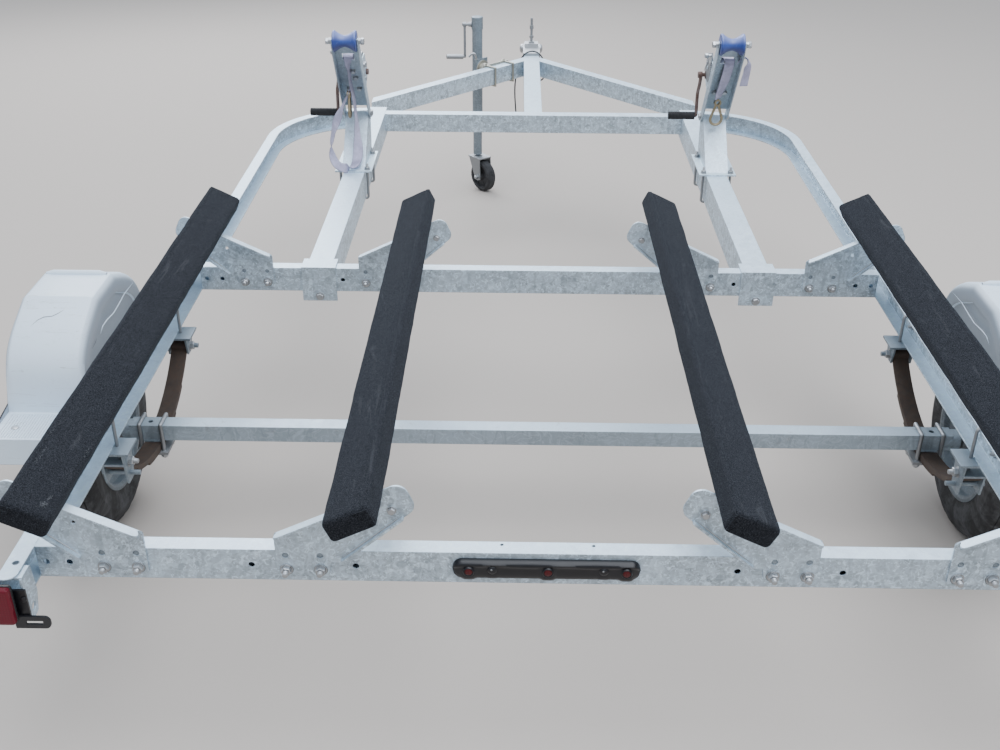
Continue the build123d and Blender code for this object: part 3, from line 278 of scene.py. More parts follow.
def carpet():
    """Black marine carpet: matted fibre, lint, and pale wear along the top."""
    m = Mat("bunk_carpet", rough=0.96, Specular_IOR_Level=0.06, Sheen_Weight=0.07,
            Sheen_Roughness=0.5, Sheen_Tint=(0.62, 0.68, 0.8, 1))
    fibre = m.noise(520, 3, 0.8, 0.5)
    tuft = m.noise(170, 4, 0.75, 1.2)
    base = m.mix(m.ramp(tuft, [(0.36, 0.0), (0.66, 1.0)]), (0.0035, 0.0038, 0.0050), (0.0150, 0.0158, 0.0190))
    base = m.mix(m.ramp(fibre, [(0.48, 0.0), (0.66, 0.9)]), base, (0.056, 0.061, 0.071))
    wear = m.noise(16, 5, 0.66, 0.7, at=m.scaled(2.6, 0.30, 2.6))
    patch = m.ramp(wear, [(0.585, 0.0), (0.70, 0.75)])
    scuff = m.math("MULTIPLY", patch, m.math("MULTIPLY", up_faces(m, 0.6, 0.95), m.ramp(m.noise(620, 3, 0.8), [(0.35, 0.15), (0.6, 1.0)])))
    base = m.mix(m.math("MULTIPLY", scuff, 0.6), base, (0.085, 0.087, 0.094))
    lint = m.ramp(m.cells(120, out="Distance"), [(0.0, 1.0), (0.055, 0.0)])
    lint = m.math("MULTIPLY", lint, m.ramp(m.noise(24, 2), [(0.50, 0.0), (0.62, 0.8)]))
    base = m.mix(lint, base, (0.30, 0.30, 0.31))
    m.color(base)
    m.bump((tuft, 0.55, 1.4), (fibre, 0.8, 0.9))
    return m.m


def fender_plastic():
    m = Mat("fender_plastic", rough=0.42, metal=0.0, Specular_IOR_Level=0.5, Coat_Weight=0.12,
            Coat_Roughness=0.35)
    n = m.noise(2.2, 4, 0.6, 0.4)
    c = m.mix(m.ramp(n, [(0.35, 0.0), (0.7, 1.0)]), (0.70, 0.825, 0.945), (0.75, 0.865, 0.97))
    dirt = m.noise(26, 6, 0.72, 0.5)
    c = m.mix(m.ramp(dirt, [(0.60, 0.0), (0.78, 0.28)]), c, (0.26, 0.26, 0.26))
    s1 = m.noise(34, 2, 0.5, 0.4, at=m.scaled(0.25, 2.2, 6.0, (0.5, 0.4, 0.3)))
    scr = m.ramp(s1, [(0.0, 0.0), (0.655, 0.0), (0.668, 0.55), (0.68, 0.0)])
    c = m.mix(scr, c, (0.36, 0.38, 0.40))
    # painted shade on the walls that stand beside the tyre: darker where the surface faces sideways
    geo = m.node("ShaderNodeNewGeometry")
    sn = m.node("ShaderNodeSeparateXYZ")
    m.link(geo.outputs["Normal"], sn.inputs[0])
    wall = m.ramp(m.math("ABSOLUTE", sn.outputs["X"]), [(0.62, 0.0), (0.93, 0.78)])
    c = m.mix(wall, c, (0.175, 0.200, 0.235))
    m.color(c)
    m.rough(0.34, 0.55, dirt)
    m.bump((m.noise(700, 2, 0.6), 0.12, 0.12), edge=3.5)
    return m.m


def rubber(name, base=(0.022, 0.022, 0.023), dust=0.5, dust_color=(0.19, 0.192, 0.20)):
    m = Mat(name, rough=0.72, Specular_IOR_Level=0.35)
    n = m.noise(18, 6, 0.68, 0.5)
    c = m.mix(m.ramp(n, [(0.42, 0.0), (0.80, dust)]), base, dust_color)
    c = m.mix(m.ramp(m.noise(160, 4, 0.7), [(0.55, 0.0), (0.8, 0.3)]), c, tuple(0.5 * v for v in base))
    m.color(c)
    m.rough(0.55, 0.9, n)
    m.bump((m.noise(300, 4, 0.65), 0.28, 0.35), edge=0.8)
    return m.m


def spring_steel(name, warm):
    m = Mat(name, rough=0.75, metal=0.15)
    n = m.noise(34, 6, 0.7, 0.7)
    c = m.mix(m.ramp(n, [(0.30, 0.0), (0.66, 1.0)]), (0.052, 0.040, 0.034), warm)
    c = m.mix(m.ramp(m.noise(120, 5, 0.7), [(0.54, 0.0), (0.70, 0.5)]), c, (0.105, 0.050, 0.030))
    c = m.mix(m.ramp(m.noise(11, 3, 0.6), [(0.54, 0.0), (0.70, 0.22)]), c, (0.17, 0.145, 0.12))
    m.color(c)
    m.rough(0.6, 0.95, n)
    m.bump((n, 0.45, 0.6), edge=1.0)
    return m.m


def plastic(name, base, rough=0.45, edge=1.0, grain=0.25, spec=0.5):
    m = Mat(name, rough=rough, Specular_IOR_Level=spec)
    n = m.noise(45, 5, 0.65, 0.3)
    m.color(m.mix(m.ramp(n, [(0.45, 0.0), (0.8, 0.55)]), base, tuple(min(1, v * 1.4 + 0.006) for v in base)))
    m.rough(rough - 0.08, rough + 0.15, n)
    m.bump((m.noise(500, 3, 0.6), grain, 0.15), edge=edge)
    return m.m


def lens(name, base, dark):
    m = Mat(name, rough=0.30, Specular_IOR_Level=0.25, Coat_Weight=0.12, Coat_Roughness=0.10)
    sx = m.node("ShaderNodeSeparateXYZ")
    m.link(m.co, sx.inputs[0])
    grid = m.math("MAXIMUM", m.math("SINE", m.math("MULTIPLY", sx.outputs["X"], 1100.0)),
                  m.math("SINE", m.math("MULTIPLY", sx.outputs["Z"], 1100.0)))
    n = m.noise(50, 4, 0.6)
    c = m.mix(m.ramp(grid, [(0.3, 0.0), (1.0, 0.5)]), base, dark)
    c = m.mix(m.ramp(n, [(0.58, 0.0), (0.8, 0.18)]), c, tuple(0.6 * v + 0.02 for v in base))
    m.color(c)
    m.bump((grid, 0.25, 0.4))
    return m.m


def blue_roller():
    m = Mat("blue_roller", rough=0.38, Specular_IOR_Level=0.5, Coat_Weight=0.25,
            Coat_Roughness=0.25, Subsurface_Weight=0.08, Subsurface_Scale=0.01)
    m.b.inputs["Subsurface Radius"].default_value = (0.3, 0.5, 1.0)
    n = m.noise(22, 5, 0.65, 0.4)
    c = m.mix(m.ramp(n, [(0.35, 0.0), (0.72, 1.0)]), (0.019, 0.048, 0.25), (0.045, 0.100, 0.40))
    c = m.mix(m.ramp(m.noise(70, 4, 0.7), [(0.60, 0.0), (0.75, 0.35)]), c, (0.28, 0.36, 0.62))
    # painted light: faces that face up are mixed toward a pale blue
    c = m.mix(m.math("MULTIPLY", up_faces(m, 0.10, 0.75), 0.52), c, (0.34, 0.40, 0.72))
    # painted shade: faces that face down are mixed toward a dark blue
    c = m.mix(m.math("SUBTRACT", 1.0, up_faces(m, -0.55, 0.05)), c, (0.016, 0.032, 0.17))
    m.color(c)
    m.rough(0.3, 0.5, n)
    m.bump((m.noise(240, 3, 0.6), 0.15, 0.3), edge=1.2)
    return m.m


def webbing(name, base, pale):
    """Woven strap: the ribs come from UVs in metres, across (x) and along (y)."""
    m = Mat(name, rough=0.85, Specular_IOR_Level=0.2, Sheen_Weight=0.15, Sheen_Roughness=0.5)
    uv = m.node("ShaderNodeUVMap", uv_map="strap").outputs["UV"]
    sep = m.node("ShaderNodeSeparateXYZ")
    m.link(uv, sep.inputs[0])
    along = m.math("SINE", m.math("MULTIPLY", sep.outputs["Y"], 2 * math.pi / 0.0022))
    across = m.math("SINE", m.math("MULTIPLY", sep.outputs["X"], 2 * math.pi / 0.0030))
    weave = m.math("MULTIPLY", along, across)
    n = m.noise(22, 5, 0.65, 0.4)
    c = m.mix(m.ramp(n, [(0.35, 0.0), (0.70, 1.0)]), base, pale)
    c = m.mix(m.ramp(weave, [(0.0, 0.0), (1.0, 0.35)]), c, tuple(v * 0.45 for v in base))
    edge = m.math("ABSOLUTE", sep.outputs["X"])
    rim = m.math("GREATER_THAN", edge, 0.0165)
    c = m.mix(m.math("MULTIPLY", rim, 0.5), c, tuple(v * 0.35 for v in base))
    m.color(c)
    m.bump((weave, 0.5, 0.5))
    return m.m


def rusted(name, base, rust, amount=0.6, rough=0.5, edge=0.8):
    m = Mat(name, rough=rough, metal=0.55)
    n = m.noise(28, 6, 0.7, 0.6)
    c = m.mix(m.ramp(n, [(0.40, 0.0), (0.62, amount)]), base, rust)
    c = m.mix(m.ramp(m.noise(170, 4, 0.7), [(0.5, 0.0), (0.75, 0.4)]), c, tuple(v * 0.5 for v in rust))
    m.color(c)
    m.rough(rough - 0.1, rough + 0.3, n)
    m.bump((n, 0.25, 0.4), edge=edge)
    return m.m


GALV = galvanized("galvanized", spangle=1.6)
GALV_B = galvanized("galvanized_bright", tone=1.08, spangle=1.3)
GALV_D = galvanized("galvanized_dull", tone=0.50, spangle=0.5, rust=0.10)
# the arms get painted shade on their faces that face down
GALV_ARM = galvanized("galvanized_arm", tone=0.92, spangle=0.8, under=0.40)
AXLE_M = galvanized("axle_steel", tone=0.76, spangle=0.25, rust=0.22, edge=2.0)
RIM_M = galvanized("rim_steel", tone=0.34, spangle=0.5, rust=0.15, edge=1.0)
ZINC = plated("zinc_plate", (0.78, 0.80, 0.82))
ZINC_D = plated("zinc_dull", (0.60, 0.62, 0.64), rough=0.42, dirt=0.35)
YELLOW = plated("yellow_zinc", (0.76, 0.735, 0.64), rough=0.38, dirt=0.3)
HOOK = plated("hook_zinc", (0.66, 0.55, 0.36), rough=0.30, dirt=0.4)
JACK_M = galvanized("jack_steel", tone=0.44, spangle=0.3, rust=0.06, edge=1.0, metal=0.4)
CRANK = rusted("crank_steel", (0.22, 0.165, 0.15), (0.12, 0.058, 0.040), 0.85)
CARPET = carpet()
FENDER = fender_plastic()
TYRE_M = rubber("tyre", dust=0.72)
CASTER_R = rubber("caster_rubber", base=(0.020, 0.020, 0.022), dust=0.4)
GRIP_M = rubber("grip_rubber", base=(0.016, 0.016, 0.018), dust=0.25)
SPRING_M = spring_steel("spring_steel", (0.090, 0.061, 0.045))
RED = lens("lens_red", (0.135, 0.003, 0.014), (0.085, 0.002, 0.009))
RED_LED = lens("lens_led", (0.085, 0.004, 0.006), (0.030, 0.001, 0.002))
BLACK = plastic("black_plastic", (0.010, 0.010, 0.012), 0.42)
BLACK_SHEET = plastic("black_moulding", (0.0050, 0.0050, 0.0070), 0.30, edge=0.8, grain=0.10, spec=0.42)
# dark grey for the painted shadow rings round the frame bolts
SHADE_RING_GREY = plastic("shade_rings", (0.150, 0.158, 0.165), 0.8, edge=0.0)
CHEEK = galvanized("winch_plate", tone=1.15, spangle=1.2)
SHEATH = plastic("lead_sheath", (0.030, 0.031, 0.035), 0.55, edge=0.0)
BLUE = blue_roller()
WEB = webbing("webbing", (0.36, 0.345, 0.47), (0.60, 0.575, 0.76))
WHITE_ZINC = plated("white_zinc", (0.88, 0.90, 0.92), rough=0.42, dirt=0.12)


# -------------------------------------------------------------- mesh building kit
def frame_of(d):
    d = Vector(d).normalized()
    a = Vector((0, 0, 1)) if abs(d.z) < 0.9 else Vector((1, 0, 0))
    e1 = a.cross(d).normalized()
    return d, e1, d.cross(e1)


class Kit:
    """Collects faces in the trailer's level millimetres and makes one object of them."""

    def __init__(self):
        self.v, self.f = [], []

    def add(self, verts, faces):
        o = len(self.v)
        self.v += [Vector(p) for p in verts]
        self.f += [tuple(i + o for i in q) for q in faces]

    def lathe(self, a, d, prof, n=20, start=0.0):
        """Revolves (distance along d, radius) pairs about the axis through a."""
        a = Vector(a)
        d, e1, e2 = frame_of(d)
        rings, verts, faces = [], [], []
        for t, rad in prof:
            if rad <= 1e-6:
                rings.append([len(verts)])
                verts.append(a + d * t)
            else:
                rings.append(list(range(len(verts), len(verts) + n)))
                for i in range(n):
                    w = 2 * math.pi * (i + start) / n
                    verts.append(a + d * t + (e1 * math.cos(w) + e2 * math.sin(w)) * rad)
        for p, q in zip(rings, rings[1:]):
            for i in range(n):
                j = (i + 1) % n
                if len(p) == 1 and len(q) == 1:
                    continue
                if len(p) == 1:
                    faces.append((p[0], q[i], q[j]))
                elif len(q) == 1:
                    faces.append((p[i], q[0], p[j]))
                else:
                    faces.append((p[i], q[i], q[j], p[j]))
        self.add(verts, faces)

    def rod(self, a, b, rad, n=12, tip=0.8):
        a, b = Vector(a), Vector(b)
        ln = (b - a).length
        c = min(tip, rad * 0.4)
        self.lathe(a, b - a, [(0, 0), (0, rad - c), (c, rad), (ln - c, rad), (ln, rad - c), (ln, 0)], n)

    def tube(self, pts, rad, n=10, caps=True, closed=False):
        """A round bar along points, its section carried without twist."""
        p = [Vector(q) for q in pts]
        m = len(p)
        tans = []
        for i in range(m):
            if closed:
                t = (p[(i + 1) % m] - p[i - 1])
            else:
                t = (p[min(i + 1, m - 1)] - p[max(i - 1, 0)])
            tans.append(t.normalized())
        _, e1, _ = frame_of(tans[0])
        verts, faces = [], []
        rr = rad if isinstance(rad, (list, tuple)) else [rad] * m
        for i in range(m):
            e1 = (e1 - tans[i] * e1.dot(tans[i])).normalized()
            e2 = tans[i].cross(e1)
            for k in range(n):
                w = 2 * math.pi * k / n
                verts.append(p[i] + (e1 * math.cos(w) + e2 * math.sin(w)) * rr[i])
        for i in range(m if closed else m - 1):
            j = (i + 1) % m
            for k in range(n):
                l = (k + 1) % n
                faces.append((i * n + k, j * n + k, j * n + l, i * n + l))
        if caps and not closed:
            verts += [p[0], p[-1]]
            c0, c1 = len(verts) - 2, len(verts) - 1
            for k in range(n):
                l = (k + 1) % n
                faces.append((c0, k, l))
                faces.append((c1, (m - 1) * n + l, (m - 1) * n + k))
        self.add(verts, faces)

    def slab(self, outline, o, ex, ey, t, bevel=0.6):
        """A plate: outline in (ex, ey) from o, counter-clockwise, t thick along ex x ey."""
        o, ex, ey = Vector(o), Vector(ex).normalized(), Vector(ey).normalized()
        nz = ex.cross(ey)
        n = len(outline)
        cx = sum(q[0] for q in outline) / n
        cy = sum(q[1] for q in outline) / n

        def ring(h, inset):
            out = []
            for i in range(n):
                ax, ay = outline[i - 1]
                bx, by = outline[i]
                qx, qy = outline[(i + 1) % n]
                d1 = Vector((bx - ax, by - ay)).normalized()
                d2 = Vector((qx - bx, qy - by)).normalized()
                n1, n2 = Vector((-d1.y, d1.x)), Vector((-d2.y, d2.x))
                s = n1 + n2
                k = inset / max(0.3, s.length_squared / 2)
                out.append(o + ex * (bx + s.x * k) + ey * (by + s.y * k) + nz * h)
            return out
        b = min(bevel, t * 0.45)
        rings = [ring(0, b), ring(b, 0), ring(t - b, 0), ring(t, b)]
        verts = [v for q in rings for v in q]
        faces = []
        for a in range(3):
            for i in range(n):
                j = (i + 1) % n
                faces.append((a * n + i, a * n + j, (a + 1) * n + j, (a + 1) * n + i))
        faces.append(tuple(range(n - 1, -1, -1)))
        faces.append(tuple(range(3 * n, 4 * n)))
        self.add(verts, faces)

    def block(self, x0, x1, y0, y1, z0, z1, bevel=1.0):
        self.slab([(x0, y0), (x1, y0), (x1, y1), (x0, y1)], (0, 0, z0), (1, 0, 0), (0, 1, 0),
                  z1 - z0, bevel)

    # fasteners: p on the surface, d outward, m the thread's diameter
    def washer(self, p, d, m, t=2.0):
        self.lathe(p, d, [(0, m * 0.52), (0, m * 1.10), (t, m * 1.10), (t, m * 0.52)], 24)

    def nut(self, p, d, m, t=None, start=0.0):
        rr, h = m * 0.92, t or m * 0.85
        self.lathe(p, d, [(0, m * 0.45), (0, rr * 0.93), (h * 0.12, rr), (h * 0.86, rr),
                          (h, rr * 0.86), (h, m * 0.45)], 6, start)

    def thread(self, p, d, m, length, n=16):
        pitch, rr = 1.6, m * 0.5
        prof = [(-2, rr * 0.9)]
        t = 0.0
        while t < length - pitch:
            prof += [(t, rr), (t + pitch * 0.5, rr * 0.88)]
            t += pitch
        prof += [(length - 0.8, rr * 0.92), (length, rr * 0.72), (length, 0)]
        self.lathe(p, d, prof, n)

    def nut_end(self, p, d, m, out=10.0, start=0.0):
        p, d = Vector(p), Vector(d).normalized()
        self.washer(p, d, m)
        self.nut(p + d * 2.0, d, m, start=start)
        self.thread(p + d * (2.0 + m * 0.8), d, m, out)

    def head(self, p, d, m, washer=True, start=0.0):
        p, d = Vector(p), Vector(d).normalized()
        if washer:
            self.washer(p, d, m)
            p = p + d * 2.0
        rr, h = m * 0.92, m * 0.66
        self.lathe(p, d, [(0, rr * 0.9), (0.5, rr), (h * 0.82, rr), (h, rr * 0.84), (h, 0)], 6, start)

    def dome(self, p, d, rad, h, n=20):
        prof = [(0, rad)] + [(h * math.sin(a), rad * math.cos(a))
                             for a in (0.3, 0.6, 0.9, 1.2, 1.45)] + [(h, 0)]
        self.lathe(p, d, prof, n)

    def make(self, name, mat, body=TRAILER, slot=None, sharp=38.0, smooth=True, weld=0.0):
        me = bpy.data.meshes.new(name)
        me.from_pydata([W(*p) for p in self.v], [], self.f)
        bm = bmesh.new()
        bm.from_mesh(me)
        if weld:
            bmesh.ops.remove_doubles(bm, verts=bm.verts, dist=weld / 1000)
        bmesh.ops.recalc_face_normals(bm, faces=bm.faces)
        lim = math.radians(sharp)
        for fc in bm.faces:
            fc.smooth = smooth
        for e in bm.edges:
            e.smooth = not (len(e.link_faces) == 2 and e.calc_face_angle(0) > lim)
        bm.to_mesh(me)
        bm.free()
        me.materials.append(mat)
        ob = bpy.data.objects.new(name, me)
        bpy.context.scene.collection.objects.link(ob)
        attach(ob, body)
        return ob


def smooth_path(points, per=8):
    """Points along a smooth curve through the given ones."""
    p = [Vector(q) for q in points]
    ext = [p[0] * 2 - p[1]] + p + [p[-1] * 2 - p[-2]]
    out = []
    for i in range(1, len(ext) - 2):
        a, b, c, d = ext[i - 1:i + 3]
        for k in range(per):
            t = k / per
            out.append(0.5 * ((2 * b) + (c - a) * t + (2 * a - 5 * b + 4 * c - d) * t * t
                              + (3 * b - a - 3 * c + d) * t ** 3))
    out.append(p[-1])
    return out


def rounded(pts, rad, per=5):
    """A path through pts with each inner corner rounded."""
    p = [Vector(q) for q in pts]
    out = [p[0]]
    for a, b, c in zip(p, p[1:], p[2:]):
        k = min(rad, (b - a).length * 0.48, (c - b).length * 0.48)
        s, e = b + (a - b).normalized() * k, b + (c - b).normalized() * k
        for i in range(per + 1):
            t = i / per
            out.append(s * (1 - t) ** 2 + b * 2 * t * (1 - t) + e * t * t)
    out.append(p[-1])
    return out


def nurbs_points(points, samples=14):
    """The line that Blender's own NURBS spline makes of control points in level mm."""
    cu = bpy.data.curves.new("scratch_line", "CURVE")
    cu.dimensions = "3D"
    cu.resolution_u = samples
    sp = cu.splines.new("NURBS")
    sp.points.add(len(points) - 1)
    for q, p in zip(sp.points, points):
        q.co = (p[0], p[1], p[2], 1)
    sp.order_u = 3
    sp.use_endpoint_u = True
    ob = bpy.data.objects.new("scratch_line", cu)
    me = bpy.data.meshes.new_from_object(ob)
    pts = [v.co.copy() for v in me.vertices]
    bpy.data.meshes.remove(me)
    bpy.data.objects.remove(ob)
    bpy.data.curves.remove(cu)
    return pts


# ------------------------------------------------------------------- wiring lead
LEAD = [
    (24, 3950, -83), (27, 3950, -98), (40, 3952, -112), (58, 3957, -108), (69, 3963, -86),
    (69, 3969, -56), (64, 3975, -25), (52, 3981, 2), (33, 3986, 20), (9, 3989, 27),
    (-16, 3991, 23), (-38, 3992, 8), (-56, 3992, -18), (-68, 3991, -52), (-76, 3990, -92),
    (-81, 3990, -135), (-82, 3990, -180), (-80, 3991, -226), (-76, 3991, -272),
    (-73, 3992, -314),
]
cu = bpy.data.curves.new("wiring_lead_run", "CURVE")
cu.dimensions = "3D"
cu.bevel_depth = 0.0036
cu.bevel_resolution = 5
cu.resolution_u = 10
cu.use_fill_caps = True
sp = cu.splines.new("NURBS")
sp.points.add(len(LEAD) - 1)
for q, p in zip(sp.points, LEAD):
    w = W(*p)
    q.co = (w.x, w.y, w.z, 1)
sp.order_u = 3
sp.use_endpoint_u = True
cu.materials.append(SHEATH)
lead = bpy.data.objects.new("wiring_lead_run", cu)
bpy.context.scene.collection.objects.link(lead)
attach(lead, TRAILER)
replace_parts(lead, "wiring_lead")
tuple(W(*LEAD[0]))


# ------------------------------------------------------------------------ straps
def ribbon(name, points, across, mat, width=36.0, thick=2.0, nodes=(), per_end=None):
    """Webbing along a route; across holds (share of the length, width direction)."""
    line = nurbs_points(points, 8)
    # even spacing
    acc = [0.0]
    for a, b in zip(line, line[1:]):
        acc.append(acc[-1] + (b - a).length)
    total = acc[-1]
    n = max(8, int(total / 7.0))
    pts, j = [], 0
    for i in range(n + 1):
        s = total * i / n
        while j < len(acc) - 2 and acc[j + 1] < s:
            j += 1
        t = (s - acc[j]) / max(1e-9, acc[j + 1] - acc[j])
        pts.append(line[j].lerp(line[j + 1], min(1, max(0, t))))

    def wide(share):
        for (s0, a), (s1, b) in zip(across, across[1:]):
            if share <= s1:
                t = (share - s0) / (s1 - s0)
                t = t * t * (3 - 2 * t)
                return Vector(a).lerp(Vector(b), t)
        return Vector(across[-1][1])
    cols = [-0.5, -0.47, -0.3, -0.1, 0.1, 0.3, 0.47, 0.5]
    top, bot, uvs = [], [], []
    for i, p in enumerate(pts):
        tan = (pts[min(i + 1, n)] - pts[max(i - 1, 0)]).normalized()
        wd = wide(i / n)
        wd = (wd - tan * wd.dot(tan)).normalized()
        nm = tan.cross(wd)
        s = total * i / n
        cup = 0.7 * math.sin(s / 31.0)
        for c in cols:
            h = thick * (0.5 if abs(c) < 0.48 else 0.18)
            o = p + wd * (c * width) + nm * (cup * (0.25 - c * c) * 4)
            top.append(o + nm * h)
            bot.append(o - nm * h)
            uvs.append((c * width / 1000, s / 1000))
    m = len(cols)
    verts = top + bot
    off = len(top)
    faces, fuv = [], []
    for i in range(n):
        for c in range(m - 1):
            a, b, cc, d = i * m + c, i * m + c + 1, (i + 1) * m + c + 1, (i + 1) * m + c
            faces.append((a, b, cc, d))
            faces.append((off + d, off + cc, off + b, off + a))
        for c, flip in ((0, 0), (m - 1, 1)):
            a, d = i * m + c, (i + 1) * m + c
            q = (a, d, off + d, off + a)
            faces.append(q[::-1] if flip else q)
    for i, flip in ((0, 0), (n, 1)):
        for c in range(m - 1):
            a, b = i * m + c, i * m + c + 1
            q = (b, a, off + a, off + b)
            faces.append(q[::-1] if flip else q)
    me = bpy.data.meshes.new(name)
    me.from_pydata([W(*v) for v in verts], [], faces)
    uv = me.uv_layers.new(name="strap")
    for lp in me.loops:
        k = lp.vertex_index % off
        uv.data[lp.index].uv = uvs[k]
    for pl in me.polygons:
        pl.use_smooth = True
    me.materials.append(mat)
    ob = bpy.data.objects.new(name, me)
    bpy.context.scene.collection.objects.link(ob)
    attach(ob, TRAILER)
    if nodes:
        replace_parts(ob, *nodes)
    return ob


STRAP_LEFT = [
    (-677, 2292, 418), (-678, 2294, 398), (-680, 2308, 366), (-681, 2330, 332), (-680, 2341, 300),
    (-676, 2349, 268), (-672, 2352, 225), (-669, 2351, 178), (-668, 2345, 132),
    (-664, 2326, 96), (-661, 2298, 66), (-663, 2274, 40), (-672, 2256, 22),
    (-694, 2246, 16), (-719, 2247, 18), (-741, 2254, 30), (-755, 2270, 56), (-759, 2290, 92),
    (-752, 2311, 132), (-739, 2328, 172), (-721, 2339, 212), (-704, 2343, 246),
    (-692, 2345, 270), (-683, 2343, 290),
]
STRAP_RIGHT = [
    (686, 2288, 424), (685, 2284, 406), (684, 2296, 380), (683, 2316, 350), (682, 2338, 322),
    (678, 2356, 296), (673, 2366, 272), (672, 2372, 256),
]
ribbon("strap_left", STRAP_LEFT,
       [(0.0, (1, 0.2, 0)), (0.025, (0.7, 0.8, 0)), (0.06, (0.12, 1, 0)), (0.30, (0.15, 1, 0.1)),
        (0.38, (0.5, 1, 0)), (0.47, (1, 0.25, 0)), (0.55, (0.9, -0.3, 0.2)),
        (0.62, (0.1, 0.9, 0.6)), (0.70, (0, 0.8, 0.7)), (0.77, (-0.5, 0.75, -0.2)), (0.84, (-0.9, 0.5, 0)),
        (0.92, (-0.3, 1, 0)), (1.0, (0.1, 1, 0.1))],
       WEB, nodes=("winch_strap_left",))
ribbon("strap_right", STRAP_RIGHT,
       [(0.0, (1, 0, 0)), (0.5, (1, 0.2, 0)), (0.8, (1, 0.5, 0.1)), (1.0, (0.8, 0.7, 0.1))],
       WEB, nodes=("winch_strap_right",))
# from each drum, over the rear of its spool and through the slot in the arm
for nm, sg, bend in (("left", -1, ((-677, 2292, 419), (-678, 2292, 408))), ("right", 1, ((685, 2288, 422), (685, 2285, 410)))):
    ribbon("strap_%s_top" % nm,
           [(sg * 677, 2424, 395), (sg * 677, 2408, 400), (sg * 677, 2384, 405), (sg * 678, 2345, 414),
            (sg * 681, 2312, 423), bend[0], bend[1]],
           [(0.0, (1, 0, 0)), (1.0, (1, 0, 0))], WEB)
# the end of the right strap, turned over the arm's flange and hanging outside it
ribbon("strap_right_tail",
       [(712, 2281, 410), (728, 2268, 434), (742, 2266, 432), (749, 2272, 408), (750, 2284, 376),
        (748, 2296, 348), (747, 2304, 322)],
       [(0.0, (0.3, 1, 0)), (0.30, (0.2, 1, -0.6)), (0.52, (1, 0.45, 0)), (1.0, (1, 0.15, 0))], WEB, width=30.0)


# ------------------------------------------------------------------------- bunks
SLOPE = math.radians(25.64)
BUNK_W, BUNK_T, BUNK_Y0, BUNK_Y1, BUNK_S, BRK_Z0 = 101.0, 50.0, -126.0, 1550.0, 140.0, 47.0
NEAR_OUT, NEAR_IN = 812.0, 549.0


